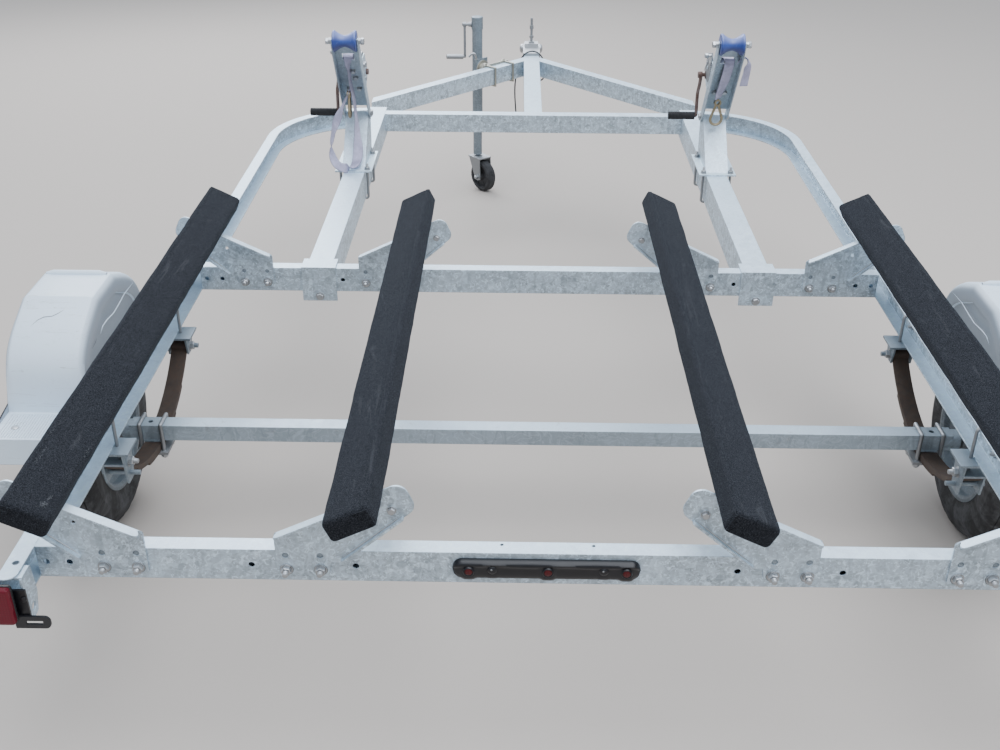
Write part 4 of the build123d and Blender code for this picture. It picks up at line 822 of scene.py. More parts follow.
def carpeted(name, near, way, seed):
    """A plank wrapped in carpet: rounded along its edges, folded in at its ends."""
    rnd = random.Random(seed)
    c, s = math.cos(SLOPE), math.sin(SLOPE)
    ox, oz = near + way * BUNK_S, BRK_Z0 + BUNK_S * math.tan(SLOPE)

    def at(a, b, y):            # a across from the low edge, b up from the underside
        return (ox + way * (a * c - b * s), y, oz + a * s + b * c)
    # section, counter-clockwise, from the underside's low corner
    rad = 10.5
    sec = []
    for cx, cy, a0 in ((BUNK_W - rad, rad, -90), (BUNK_W - rad, BUNK_T - rad, 0),
                       (rad, BUNK_T - rad, 90), (rad, rad, 180)):
        for i in range(7):
            w = math.radians(a0 + 90 * i / 6)
            sec.append((cx + rad * math.cos(w), cy + rad * math.sin(w)))
        nx = {-90: [(BUNK_W, BUNK_T / 2)], 0: [(BUNK_W * 0.885, BUNK_T), (BUNK_W * 0.86, BUNK_T), (BUNK_W * 0.83, BUNK_T), (BUNK_W * 0.6, BUNK_T),
              (BUNK_W * 0.4, BUNK_T), (BUNK_W * 0.2, BUNK_T)], 90: [(0, BUNK_T / 2)],
              180: [(BUNK_W * 0.25, 0), (BUNK_W * 0.5, 0), (BUNK_W * 0.75, 0)]}[a0]
        sec += nx
    m = len(sec)
    ys = [BUNK_Y0, BUNK_Y0 + 0.8, BUNK_Y0 + 2.6, BUNK_Y0 + 5.5, BUNK_Y0 + 9.5, BUNK_Y0 + 14]
    inset = [7.0, 4.2, 2.0, 0.8, 0.1, 0.0]
    step = 13.0
    y = BUNK_Y0 + 24
    while y < BUNK_Y1 - 20:
        ys.append(y)
        inset.append(0.0)
        y += step
    ys += [BUNK_Y1 - 14, BUNK_Y1 - 9.5, BUNK_Y1 - 5.5, BUNK_Y1 - 2.6, BUNK_Y1 - 0.8, BUNK_Y1]
    inset += [0.0, 0.1, 0.8, 2.0, 4.2, 7.0]
    verts, faces = [], []
    cx, cy = BUNK_W / 2, BUNK_T / 2
    for y, k in zip(ys, inset):
        end = min(y - BUNK_Y0, BUNK_Y1 - y)
        for a, b in sec:
            dx, dy = a - cx, b - cy
            sx = 1 - k / cx
            sy = 1 - k / cy
            q = (cx + dx * sx, cy + dy * sy)
            h = noise.noise(Vector((a * 0.016 + seed * 7, b * 0.03, y * 0.011))) * 1.3
            h += noise.noise(Vector((a * 0.07, b * 0.07 + seed * 3, y * 0.05))) * 0.45
            h -= 0.9 * math.exp(-((y - BUNK_Y0 - 44) / 9.0) ** 2) * (0.5 + 0.5 * math.sin(a * 0.13 + seed))
            if b > BUNK_T - 3:
                h -= 2.6 * math.exp(-((a - 0.86 * BUNK_W) / 2.3) ** 2) * (0.75 + 0.25 * math.sin(y * 0.03))
            ln = math.hypot(dx, dy)
            g = 1 + (h - 0.4) / ln
            v = (cx + (q[0] - cx) * g, cy + (q[1] - cy) * g)
            w = at(v[0], v[1], y)
            verts.append(Vector(w))
    rings = len(ys)
    for i in range(rings - 1):
        for j in range(m):
            l = (j + 1) % m
            faces.append((i * m + j, (i + 1) * m + j, (i + 1) * m + l, i * m + l))
    # end faces as two inner rings and a centre, slightly pillowed
    for base, yy, sg in ((0, BUNK_Y0, -1), ((rings - 1) * m, BUNK_Y1, 1)):
        prev = [base + j for j in range(m)]
        for kk, out in ((0.72, 1.2), (0.36, 1.9)):
            start = len(verts)
            for j, (a, b) in enumerate(sec):
                ex = (1 - 7.0 / cx) * kk
                ey = (1 - 7.0 / cy) * kk
                jit = noise.noise(Vector((a * 0.05, b * 0.06, seed + sg * 5))) * 1.1
                w = at(cx + (a - cx) * ex, cy + (b - cy) * ey, yy + sg * (out * 0.5 + jit * 0.5 - 0.4))
                verts.append(Vector(w))
            cur = [start + j for j in range(m)]
            for j in range(m):
                l = (j + 1) % m
                q = (prev[j], prev[l], cur[l], cur[j])
                faces.append(q if sg < 0 else q[::-1])
            prev = cur
        ci = len(verts)
        verts.append(Vector(at(cx, cy, yy + sg * 0.6)))
        for j in range(m):
            l = (j + 1) % m
            q = (prev[j], prev[l], ci)
            faces.append(q if sg < 0 else q[::-1])
    kit = Kit()
    kit.add(verts, faces)
    # folded corner of the carpet at each end, on the high side, with its lapped edge
    for yy, sg in ((BUNK_Y0, -1), (BUNK_Y1, 1)):
        flap = [(BUNK_W - 3.5, BUNK_T - 5), (BUNK_W - 29, BUNK_T - 4), (BUNK_W - 15, 18), (BUNK_W - 4, 6)]
        o, p = [], []
        for a, b in flap:
            o.append(Vector(at(a, b, yy + sg * 1.6)))
            p.append(Vector(at(a + 0.6, b, yy - sg * 1.5)))
        kit.add(o + p, [(0, 1, 2, 3), (7, 6, 5, 4)] + [(i, (i + 1) % 4, (i + 1) % 4 + 4, i + 4) for i in range(4)])
    ob = kit.make(name, CARPET, slot="bunk_carpet", sharp=62)
    return ob


for nm, near, way, seed in (("bunk_outer_left", -NEAR_OUT, -1, 1), ("bunk_inner_left", -NEAR_IN, 1, 2),
                            ("bunk_inner_right", NEAR_IN, -1, 3), ("bunk_outer_right", NEAR_OUT, 1, 4)):
    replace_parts(carpeted("carpeted_" + nm, near, way, seed), nm)


# ------------------------------------------------------------------------- tyres
AY, AZ, WX, TR, TW = 772.0, -203.0, 1191.0, 266.0, 122.0


def tyre(name, side):
    w, r = TW / 2, TR
    half = [(158.0, w - 20), (156.8, w - 14), (158.0, w - 9.5), (163, w - 6.5), (168, w - 5.2), (170, w - 3.6), (172.5, w - 3.2),
            (175, w - 3.9), (182, w - 2.2), (193, w - 0.7), (205, w - 0.1), (215, w - 0.6),
            (217, w - 0.1), (219.5, w - 0.2), (221.5, w - 1.3), (232, w - 3.2), (241, w - 6.0), (249, w - 9.6),
            (252, w - 10.4), (255, w - 13.5), (260.2, w - 18.5), (263.2, w - 24)]
    n = 168
    ribs = [(-34.0, -21.5), (-17.5, -5.5), (-1.8, 1.8), (5.5, 17.5), (21.5, 34.0)]
    verts, faces = [], []
    strips = []                       # each: list of (x function, radius)
    left = [(rad, -x) for rad, x in half]
    prof = [(rad, x, 0.0) for rad, x in left]
    crown = lambda x: r - 0.4 - 3.0 * (abs(x) / 36.0) ** 2.2
    for i, (a, b) in enumerate(ribs):
        zz = 1.0
        prof += [(crown(a) - 6.5, a, zz), (crown(a) - 0.7, a, zz), (crown(a), a + 0.8, zz),
                 (crown(b), b - 0.8, zz), (crown(b) - 0.7, b, zz), (crown(b) - 6.5, b, zz)]
    prof += [(rad, x, 0.0) for rad, x in reversed(half)]
    m = len(prof)
    for i in range(n):
        th = 2 * math.pi * i / n
        zig = 1.5 * (1 if (i // 2) % 2 else -1)
        for k, (rad, x, z) in enumerate(prof):
            xx = x + (zig if z and abs(x) < 34 else 0)
            rr = rad
            if 251 < rad < 262 and not z and (i // 2) % 3 == 0:
                rr = rad - 1.6        # shoulder notches
            verts.append(Vector((side * WX + xx, AY + rr * math.cos(th), AZ + rr * math.sin(th))))
    for i in range(n):
        j = (i + 1) % n
        for k in range(m - 1):
            faces.append((i * m + k, i * m + k + 1, j * m + k + 1, j * m + k))
    # inside
    inn = [(TW / 2 - 20, 158), (w - 11, 180), (w - 9, 205), (w - 12, 230), (w - 24, 248),
           (-w + 24, 248), (-w + 12, 230), (-w + 9, 205), (-w + 11, 180), (-w + 20, 158)]
    kit = Kit()
    kit.add(verts, faces)
    kit.lathe((side * WX, AY, AZ), (1, 0, 0), inn, 72)
    # moulding vents at the shoulder and a fitting line are part of the profile
    ob = kit.make(name, TYRE_M, "wheel_left" if side < 0 else "wheel_right", "tyre", 34)
    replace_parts(ob, "tyre_left" if side < 0 else "tyre_right")


tyre("tyre_body_left", -1)
tyre("tyre_body_right", 1)


# ---------------------------------------------------------------- frame fasteners
REAR = (0, -1, 0)
RAIL_OUT, RAIL_W, RAIL_H, MID_Y = 1078.0, 38.0, 76.0, 1380.0
BRACKETS = [(-1, NEAR_OUT, -1), (-1, NEAR_IN, 1), (1, NEAR_IN, -1), (1, NEAR_OUT, 1)]
k, shade_rings = Kit(), Kit()
rnd = random.Random(4)
for y in (0.0, MID_Y):
    for side, near, way in BRACKETS:
        for s in (20, 90):
            x = side * near + way * s
            # painted shadow: a thin dark disc on the plate round each washer
            shade_rings.lathe((x, y - 5.2, -45), REAR, [(0, 14.2), (0.25, 13.9), (0.35, 0)], 22)
            k.nut_end((x, y - 5, -44), REAR, 12, 9 + rnd.random() * 3, rnd.random())
            k.head((x, y + 38, -44), (0, 1, 0), 12, start=rnd.random())
for sg in (-1, 1):                                   # saddles
    k.head((sg * 674, MID_Y - 5, -91), REAR, 12, start=0.3)
    k.nut_end((sg * 674, MID_Y, -91), (0, 1, 0), 12, 8, 0.2)
# bolts through the ears that hold the inner bunks
for y in (0.0, MID_Y):
    for side, near, way in BRACKETS:
        x = side * near + way * 240
        if near == NEAR_IN or y:
            k.head((x, y - 5, 107), REAR, 9, start=0.5)
            k.nut_end((x, y, 107), (0, 1, 0), 9, 5)
k.make("frame_bolts", ZINC, slot="zinc_plate")
shade_rings.make("frame_bolt_painted_shadows", SHADE_RING_GREY, slot="galvanized")

# plugs of zinc in the spare holes above the bolts
k = Kit()
for y in (0.0, MID_Y):
    for side, near, way in BRACKETS:
        for s in (20, 90):
            x = side * near + way * s
            k.lathe((x, y - 3.6, -9), REAR, [(0, 6.2), (0.6, 5.6), (1.1, 3.0), (1.2, 0)], 20)
k.make("spare_hole_plugs", GALV_D, slot="galvanized")

# ------------------------------------------------------------------ bow stand feet
FOOT, KNEE, SX = (2268.0, 6.0), (2446.0, 172.0), 677.0
k = Kit()
for sg in (-1, 1):
    for dy in (-2.0, 182.0):
        y = FOOT[0] + dy
        for e in (-1, 1):
            x = sg * SX + e * 50
            k.washer((x, y, 6), (0, 0, 1), 10, 2)
            k.nut((x, y, 8), (0, 0, 1), 10, start=rnd.random())
            k.thread((x, y, 15.5), (0, 0, 1), 10, 13)
        path = rounded([(sg * SX - 50, y, 15), (sg * SX - 50, y, -107.6), (sg * SX + 50, y, -107.6),
                        (sg * SX + 50, y, 15)], 11)
        k.tube(path, 4.8, 12)
k.make("stand_u_bolts", ZINC_D, slot="zinc_plate")

# ---------------------------------------------------------------- spring hangers
SPX = 1040.0
k = Kit()
for sg in (-1, 1):
    for y in (1088.0, 490.0):
        xi, xo = RAIL_OUT - RAIL_W - 7, RAIL_OUT + 7.5
        for dy in (0,):
            path = rounded([(sg * xi, y + dy, -112), (sg * xi, y + dy, 6), (sg * xo, y + dy, 6),
                            (sg * xo, y + dy, -112)], 10)
            k.tube(path, 4.4, 12)
            for x in (xi, xo):
                k.washer((sg * x, y + dy, -82), (0, 0, -1), 10, 2)
                k.nut((sg * x, y + dy, -84), (0, 0, -1), 10, start=rnd.random())
k.make("hanger_u_bolts", ZINC_D, slot="zinc_plate")


# ------------------------------------------------------------ pressed bunk brackets
def bent_strip(kit, put, base, U, Nn, length, R, depth, r0, r1, t=5.0, shear=0.0):
    """A flange folded off the web toward the rear, with a rounded bend and rounded corners."""
    stations = [0.0]
    if r0:
        stations += [r0 * v for v in (0.04, 0.14, 0.30, 0.55, 1.0)]
    stations += [length * v for v in (0.3, 0.5, 0.7)]
    if r1:
        stations += [length - r1 * v for v in (1.0, 0.55, 0.30, 0.14, 0.04)]
    stations.append(length)
    verts, faces = [], []
    na = 6
    for u in stations:
        d_ = depth
        if r0 and u < r0:
            d_ = depth - r0 + math.sqrt(max(0, r0 * r0 - (r0 - u) ** 2))
        if r1 and u > length - r1:
            w = length - u
            d_ = depth - r1 + math.sqrt(max(0, r1 * r1 - (r1 - w) ** 2))
        outer, inner = [], []
        for i in range(na + 1):
            a = math.pi / 2 * i / na
            outer.append((-R + R * math.sin(a), -R + R * math.cos(a)))
            inner.append((-R + (R - t) * math.sin(a), -R + (R - t) * math.cos(a)))
        outer.append((0, -d_))
        inner.append((-t, -d_))
        for n_, y in outer + inner[::-1]:
            uu = u + shear * n_ * (1 - u / length)
            if shear and u < 40:
                if y > -R:
                    q_ = min(1.0, max(0.0, (n_ + R) / R))
                    trim = 8.0 * (1 - math.sqrt(max(0.0, 1 - q_ * q_)))
                else:
                    trim = 8.0 * max(0.0, 1 - (-y - R) / (depth - R)) ** 1.6
                uu += trim * (1 - u / 40)
            verts.append(put(base[0] + U[0] * uu + Nn[0] * n_, base[1] + U[1] * uu + Nn[1] * n_, y))
    m = 2 * (na + 2)
    for i in range(len(stations) - 1):
        for j in range(m - 1):
            faces.append((i * m + j, i * m + j + 1, (i + 1) * m + j + 1, (i + 1) * m + j))
    for b in (0, (len(stations) - 1) * m):
        for j in range(na + 1):
            faces.append((b + j, b + j + 1, b + m - 2 - j, b + m - 1 - j))
    kit.add(verts, faces)
    return [(base[0] + U[0] * (u - shear * R * (1 - u / length)) - Nn[0] * R,
             base[1] + U[1] * (u - shear * R * (1 - u / length)) - Nn[1] * R) for u in stations]


def arc_corner(a, b, c, r, n=7):
    a, b, c = Vector(a), Vector(b), Vector(c)
    d1, d2 = (a - b).normalized(), (c - b).normalized()
    half = d1.angle(d2) / 2
    cen = b + (d1 + d2).normalized() * (r / math.sin(half))
    p, q = b + d1 * (r / math.tan(half)), b + d2 * (r / math.tan(half))
    out = []
    for i in range(n + 1):
        v = (p - cen).lerp(q - cen, i / n).normalized() * r
        out.append(tuple(cen + v))
    return out


def pressed_bracket(kit, side, near, way, y0):
    t = 5.0
    tn, c, sn = math.tan(SLOPE), math.cos(SLOPE), math.sin(SLOPE)

    def put(s, z, y):
        return (side * near + way * s, y0 + y, z)
    top = (262.0, BRK_Z0 + 262 * tn)
    line = bent_strip(kit, put, (0, BRK_Z0), (c, sn), (-sn, c), 236.0, 9.0, 28.0, 14.0, 7.0, shear=tn)
    dx, dz = 160.0, 138.0
    ln = math.hypot(dx, dz)
    u = (dx / ln, dz / ln)
    a, b = 8.0, ln - 34
    low = bent_strip(kit, put, (130 + u[0] * a, -26 + u[1] * a), u, (u[1], -u[0]), b - a, 8.0, 16.0, 5.0, 5.0)
    out = [(0.0, -52.0)]
    out += line
    out += [(236 * c, BRK_Z0 + 236 * sn)]
    out += arc_corner((236 * c, BRK_Z0 + 236 * sn), top, (290, 112), 24)
    out += arc_corner(top, (290, 112), (130, -26), 24)
    out += [(130 + u[0] * b, -26 + u[1] * b)] + low[::-1] + [(130 + u[0] * a, -26 + u[1] * a)]
    out += [(130, -26), (112, -26)]
    out += arc_corner((112, -26), (106, -62), (0, -62), 10)
    out += arc_corner((106, -62), (0, -62), (0, 0), 10)[:-1]
    holes = []
    for hs, hz, r in ((20, -9, 6.5), (90, -9, 6.5), (240, 107, 5.5), (136, 66, 5.5)):
        holes.append([(hs + r * math.cos(-2 * math.pi * i / 20), hz + r * math.sin(-2 * math.pi * i / 20))
                      for i in range(20)])
    loops = [out] + holes
    flat = [p for q in loops for p in q]
    tri = tessellate_polygon([[Vector((p[0], p[1], 0)) for p in q] for q in loops])
    n = len(flat)
    verts = [put(p[0], p[1], 0.0) for p in flat] + [put(p[0], p[1], -t) for p in flat]
    faces = [tuple(q) for q in tri] + [tuple(i + n for i in q[::-1]) for q in tri]
    skip = set()
    for run in (line, low):
        for p, q in zip(run, run[1:]):
            skip.add((round(p[0], 3), round(p[1], 3), round(q[0], 3), round(q[1], 3)))
            skip.add((round(q[0], 3), round(q[1], 3), round(p[0], 3), round(p[1], 3)))
    o = 0
    for q in loops:
        m = len(q)
        for i in range(m):
            p0, p1 = q[i], q[(i + 1) % m]
            if (round(p0[0], 3), round(p0[1], 3), round(p1[0], 3), round(p1[1], 3)) in skip:
                continue
            a_, b_ = o + i, o + (i + 1) % m
            faces.append((a_, b_, b_ + n, a_ + n))
        o += m
    kit.add(verts, faces)


for y, nm in ((0.0, "rear"), (MID_Y, "middle")):
    k = Kit()
    shine = Kit()
    for side, near, way in BRACKETS:
        pressed_bracket(k, side, near, way, y)
        # painted highlight: a thin pale bead along the lower bend of each bracket's web
        a_, b_ = (138.0, -10.5), (258.0, 93.0)
        run = [(side * near + way * (a_[0] + (b_[0] - a_[0]) * i / 6), y - 5.9, a_[1] + (b_[1] - a_[1]) * i / 6)
               for i in range(7)]
        shine.tube(run, [0.5, 1.5, 1.7, 1.6, 1.7, 1.5, 0.5], 8)
    shine.make("%s_bracket_bend_highlight_lines" % nm, WHITE_ZINC, slot="galvanized")
    ob = k.make("pressed_%s_brackets" % nm, GALV, slot="galvanized", weld=0.02)
    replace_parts(ob, nm + "_bunk_brackets")

k = Kit()
for sg in (-1, 1):
    for y, z in ((1088.0, -116.0), (490.0, -118.3)):
        x0 = SPX - 22.25 - 7
        # nut and long thread on the inner end of the cross bolt, head outside
        k.washer((sg * x0, y, z), (-sg, 0, 0), 13)
        k.nut((sg * (x0 - 2), y, z), (-sg, 0, 0), 13, start=0.2)
        k.thread((sg * (x0 - 13), y, z), (-sg, 0, 0), 13, 11)
        k.head((sg * (SPX + 22.25 + 7), y, z), (sg, 0, 0), 13, start=0.4)
    # nuts under the tie plate
    zb = AZ - 22.5 - 5 - 1.2 - 21 - 8
    for e in (-1, 1):
        for h in (-1, 1):
            x, y = sg * SPX + e * (22.25 + 6.5), AY + h * (22.5 + 5.5)
            k.washer((x, y, zb), (0, 0, -1), 11)
            k.nut((x, y, zb - 2), (0, 0, -1), 11, start=rnd.random())
    # fender bracket bolts: carriage heads on the pads, nuts through the rail's web
    for e in (-1, 1):
        y = AY + 5 + e * 330
        for dx in (34, 150):
            k.dome((sg * (1100 + dx), y, 0.4), (0, 0, 1), 9.5, 4.0)
            k.nut_end((sg * (1100 + dx), y, -9), (0, 0, -1), 8, 7)
        k.head((sg * (RAIL_OUT + 5), y, -38), (sg, 0, 0), 10, start=0.1)
        k.nut_end((sg * (RAIL_OUT - 3.5), y, -38), (-sg, 0, 0), 10, 8)
k.make("axle_and_fender_bolts", ZINC, slot="zinc_plate")

# clip round the spring leaves ahead of each axle
k = Kit()
for sg in (-1, 1):
    x0, x1 = SPX - 29, SPX + 29
    y0, y1 = 806, 838
    for a, b_ in ((x0, x0 + 4.5), (x1 - 4.5, x1)):
        k.block(min(sg * a, sg * b_), max(sg * a, sg * b_), y0, y1, -256, -212, 0.8)
    k.block(min(sg * x0, sg * x1), max(sg * x0, sg * x1), y0, y1, -218, -213, 0.8)
    k.head((sg * x0, (y0 + y1) / 2, -249), (-sg, 0, 0), 8, start=0.2)
k.make("spring_clips", ZINC_D, slot="zinc_plate")

# -------------------------------------------------------------- holes and grommets
k = Kit()
for sg in (-1, 1):
    for d0, xx in ((-1, RAIL_OUT - 3.5), (1, RAIL_OUT)):
        p, dr = (sg * xx, 342, -40), (sg * d0, 0, 0)
        k.lathe(p, dr, [(0, 19.5), (2.2, 18.5), (3.0, 15.5), (2.6, 12.4), (0.4, 11.8), (-1.2, 12.5)], 28)
        k.lathe(p, dr, [(0.4, 12.0), (-0.6, 0)], 28)
k.make("rail_grommets", BLACK, slot="black_plastic")

# ------------------------------------------------------------------------ fenders
FX0, FX1, FC = 1100.0, 1295.0, AY + 5
ARCH = [(-259, 0), (-237, 110), (-179, 172), (-72, 222), (72, 222), (179, 172), (237, 110), (259, 0)]


def fender_side(inset):
    """Side outline from the rear apron to the front one, its two shoulders run as curves."""
    pts = []
    for y, z in ARCH:
        s = 1 if y > 0 else -1
        fq = 0.0 if z == 0 else (0.8 if z < 150 else 0.35)
        g = 0.0 if z == 0 else (0.45 if z < 150 else (0.95 if z < 200 else 1.0))
        pts.append(Vector((FC + y - s * inset * fq, z - inset * g)))
    out = [Vector((FC - 382, -70)), Vector((FC - 382, 0))]

    def shoulder(p):             # four points as one smooth curve
        q = [p[0] * 2 - p[1]] + p + [p[3] * 2 - p[2]]
        run = []
        for i in range(1, 4):
            for j in range(6):
                t = j / 6
                a, b_, c, d_ = q[i - 1], q[i], q[i + 1], q[i + 2]
                run.append(0.5 * ((2 * b_) + (c - a) * t + (2 * a - 5 * b_ + 4 * c - d_) * t * t
                                  + (3 * b_ - a - 3 * c + d_) * t ** 3))
        return run + [p[3]]
    out += shoulder(pts[:4])
    out += shoulder(pts[4:][::-1])[::-1]
    return out + [Vector((FC + 382, 0)), Vector((FC + 382, -70))]


def fender(name, side):
    """Moulded fender skin: rounded edges, a deep inner wall with a crease, an open outer one."""
    bevel = 24.0
    full, inn = fender_side(0), fender_side(bevel)
    n = len(full)
    secs = []
    # rounded corner between the walls and the tread face, then the flat face
    rows = [(0.0, 1.0), (0.08, 0.70), (0.29, 0.38), (0.60, 0.13), (1.0, 0.0)]
    for t, k_ in rows:
        secs.append((FX0 + bevel * t, [full[i].lerp(inn[i], k_) for i in range(n)]))
    secs.append(((FX0 + FX1) / 2, full))
    for t, k_ in rows[::-1]:
        secs.append((FX1 - bevel * t, [full[i].lerp(inn[i], k_) for i in range(n)]))
    bm = bmesh.new()
    grid = [[bm.verts.new((side * x, p.x, p.y)) for p in o] for x, o in secs]
    for a_, b_ in zip(grid, grid[1:]):
        for i in range(n - 1):
            bm.faces.new((a_[i], a_[i + 1], b_[i + 1], b_[i]))
    # inner wall: full depth, with a raised band that follows the outline
    cen = Vector((FC, -70.0))

    def toward(p, f):
        f = min(0.93, f + 0.10 * max(0.0, p.y) / 222) if f > 0.6 else f
        return Vector((cen.x + (p.x - cen.x) * f, max(-70.0, cen.y + (p.y - cen.y) * f)))
    prev = grid[0]
    for f, off in ((0.84, 0.4), (0.822, 2.0), (0.808, 6.4), (0.79, 8.0), (0.50, 8.0), (0.22, 8.0)):
        cur = []
        for i, p in enumerate(secs[0][1]):
            w = toward(p, f)
            if i in (0, n - 1):
                w.y = -70.0
            cur.append(bm.verts.new((side * (FX0 + off), w.x, w.y)))
        for i in range(n - 1):
            bm.faces.new((prev[i], cur[i], cur[i + 1], prev[i + 1]))
        prev = cur
    last = bm.verts.new((side * (FX0 + 8.0), cen.x, cen.y))
    for i in range(n - 1):
        bm.faces.new((prev[i], last, prev[i + 1]))
    # outer wall round the wheel opening
    R = 312.0
    a0 = math.asin((-70 - AZ) / R)
    arc = []
    m_ = 36
    for i in range(m_ + 1):
        w = math.pi - a0 - (math.pi - 2 * a0) * i / m_
        arc.append(bm.verts.new((side * FX1, AY + R * math.cos(w), AZ + R * math.sin(w))))
    lip = [bm.verts.new((side * (FX1 - 9), v.co.y, v.co.z)) for v in arc]
    for i in range(m_):
        bm.faces.new((arc[i], arc[i + 1], lip[i + 1], lip[i]))
    sec = grid[-1]
    i = j = 0
    ends = [sum((sec[q + 1].co - sec[q].co).length for q in range(u)) for u in range(n)]
    while i < n - 1 or j < m_:
        if i == n - 1 or (j < m_ and (j + 1) / m_ <= ends[i + 1] / ends[-1]):
            bm.faces.new((sec[i], arc[j + 1], arc[j]))
            j += 1
        else:
            bm.faces.new((sec[i], sec[i + 1], arc[j]))
            i += 1
    bmesh.ops.remove_doubles(bm, verts=bm.verts, dist=0.01)
    bmesh.ops.recalc_face_normals(bm, faces=bm.faces)
    top = max(bm.faces, key=lambda q: q.calc_center_median().z)
    if top.normal.z < 0:
        bmesh.ops.reverse_faces(bm, faces=bm.faces)
    me = bpy.data.meshes.new(name)
    bm.to_mesh(me)
    bm.free()
    ob = bpy.data.objects.new(name, me)
    bpy.context.scene.collection.objects.link(ob)
    md = ob.modifiers.new("skin", "SOLIDIFY")
    md.thickness, md.offset = 3.0, -1.0
    dg = bpy.context.evaluated_depsgraph_get()
    done = bpy.data.meshes.new_from_object(ob.evaluated_get(dg))
    bpy.data.objects.remove(ob)
    bpy.data.meshes.remove(me)
    vs = [W(*v.co) for v in done.vertices]
    fs = [tuple(p.vertices) for p in done.polygons]
    bpy.data.meshes.remove(done)
    me = bpy.data.meshes.new(name)
    me.from_pydata(vs, [], fs)
    bm = bmesh.new()
    bm.from_mesh(me)
    for fc in bm.faces:
        fc.smooth = True
    for ed in bm.edges:
        ed.smooth = not (len(ed.link_faces) == 2 and ed.calc_face_angle(0) > math.radians(19))
    bm.to_mesh(me)
    bm.free()
    me.materials.append(FENDER)
    ob = bpy.data.objects.new(name, me)
    bpy.context.scene.collection.objects.link(ob)
    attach(ob, TRAILER)
    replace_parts(ob, "fender_left" if side < 0 else "fender_right")


fender("fender_skin_left", -1)
fender("fender_skin_right", 1)

k = Kit()                                   # the raised moulding across the ridge
for sg in (-1, 1):
    for y in (FC + 64.0,):
        for x0, x1 in ((FX0 + 20, FX1 - 20),):
            pts = [(sg * (x0 + (x1 - x0) * i / 8), y, 222.0 - (1.5 if i in (0, 8) else 0)) for i in range(9)]
            k.tube(pts, [5.0] + [9.0] * 7 + [5.0], 14)
k.make("fender_ridges", FENDER, slot="fender_plastic", sharp=60)

k = Kit()                                   # ribs of the step pads
for sg in (-1, 1):
    for y0, y1 in ((FC - 374, FC - 268), (FC + 268, FC + 374)):
        x = FX0 + 16
        while x < FX1 - 14:
            k.block(sg * x - 1.6, sg * x + 1.6, y0, y1, -0.8, 1.3, 0.6)
            x += 6.8
k.make("fender_step_ribs", FENDER, slot="fender_plastic", sharp=70)

# worn fibres on the left outer bunk: a pale scuff near its end, and two fainter streaks
LINT = plastic("lint", (0.125, 0.130, 0.140), 0.95, edge=0.0, spec=0.1)
k = Kit()
rnd = random.Random(21)
cs, sn_ = math.cos(SLOPE), math.sin(SLOPE)
bx, bz = -NEAR_OUT - BUNK_S, BRK_Z0 + BUNK_S * math.tan(SLOPE)
for a0, y0, da, dy, count in ((28, -90, 6.0, 10, 90), (24, -66, 2.5, 9, 34), (82, 45, 2.6, 34, 46), (90, 118, 1.6, 22, 18),
                              (8, 108, 3.0, 26, 26)):
    for i in range(count):
        u = rnd.gauss(0, 0.5)
        a, y = a0 + da * rnd.gauss(0, 0.5) - da * 0.5 * u, y0 + dy * u
        w, ln = rnd.uniform(0, 6.28), rnd.uniform(1.5, 4.0)
        pts = []
        for t, up in ((0, 0.2), (0.5, 0.9), (1, 0.3)):
            aa, yy, b = a + ln * t * math.cos(w), y + ln * t * math.sin(w), BUNK_T + up
            pts.append((bx - (aa * cs - b * sn_), yy, bz + aa * sn_ + b * cs))
        k.tube(pts, [0.12, 0.28, 0.12], 4)
k.make("bunk_scuff_fibres", LINT, slot="bunk_carpet")

# scratches on the rear shoulder of the left fender, and one on its inner wall
SCRATCH = plastic("scratch", (0.10, 0.11, 0.12), 0.7, edge=0.0)
k = Kit()
k.tube([(-1242, 616.3, 182.8), (-1228, 634.5, 191.6), (-1216, 642.8, 195.3), (-1196, 645.6, 196.5),
        (-1184, 654.1, 200.2), (-1172, 665.6, 205.0)], [0.1, 0.8, 1.0, 0.9, 0.8, 0.1], 6)
k.tube([(-1099.4, 612, 126), (-1099.4, 636, 129), (-1099.4, 652, 135)], [0.1, 0.8, 0.1], 6)
k.make("fender_scratches", SCRATCH, slot="fender_plastic")

# the pressed crease along each inner wall
k = Kit()
for sg in (-1, 1):
    k.tube([(sg * 1099.8, y, z) for y, z in ((680, 132), (704, 141), (736, 141), (788, 135), (832, 138),
                                             (888, 144), (960, 141))], [0.3, 1.8, 2.2, 2.0, 2.0, 1.6, 0.3], 8)
k.make("fender_wall_creases", FENDER, slot="fender_plastic")

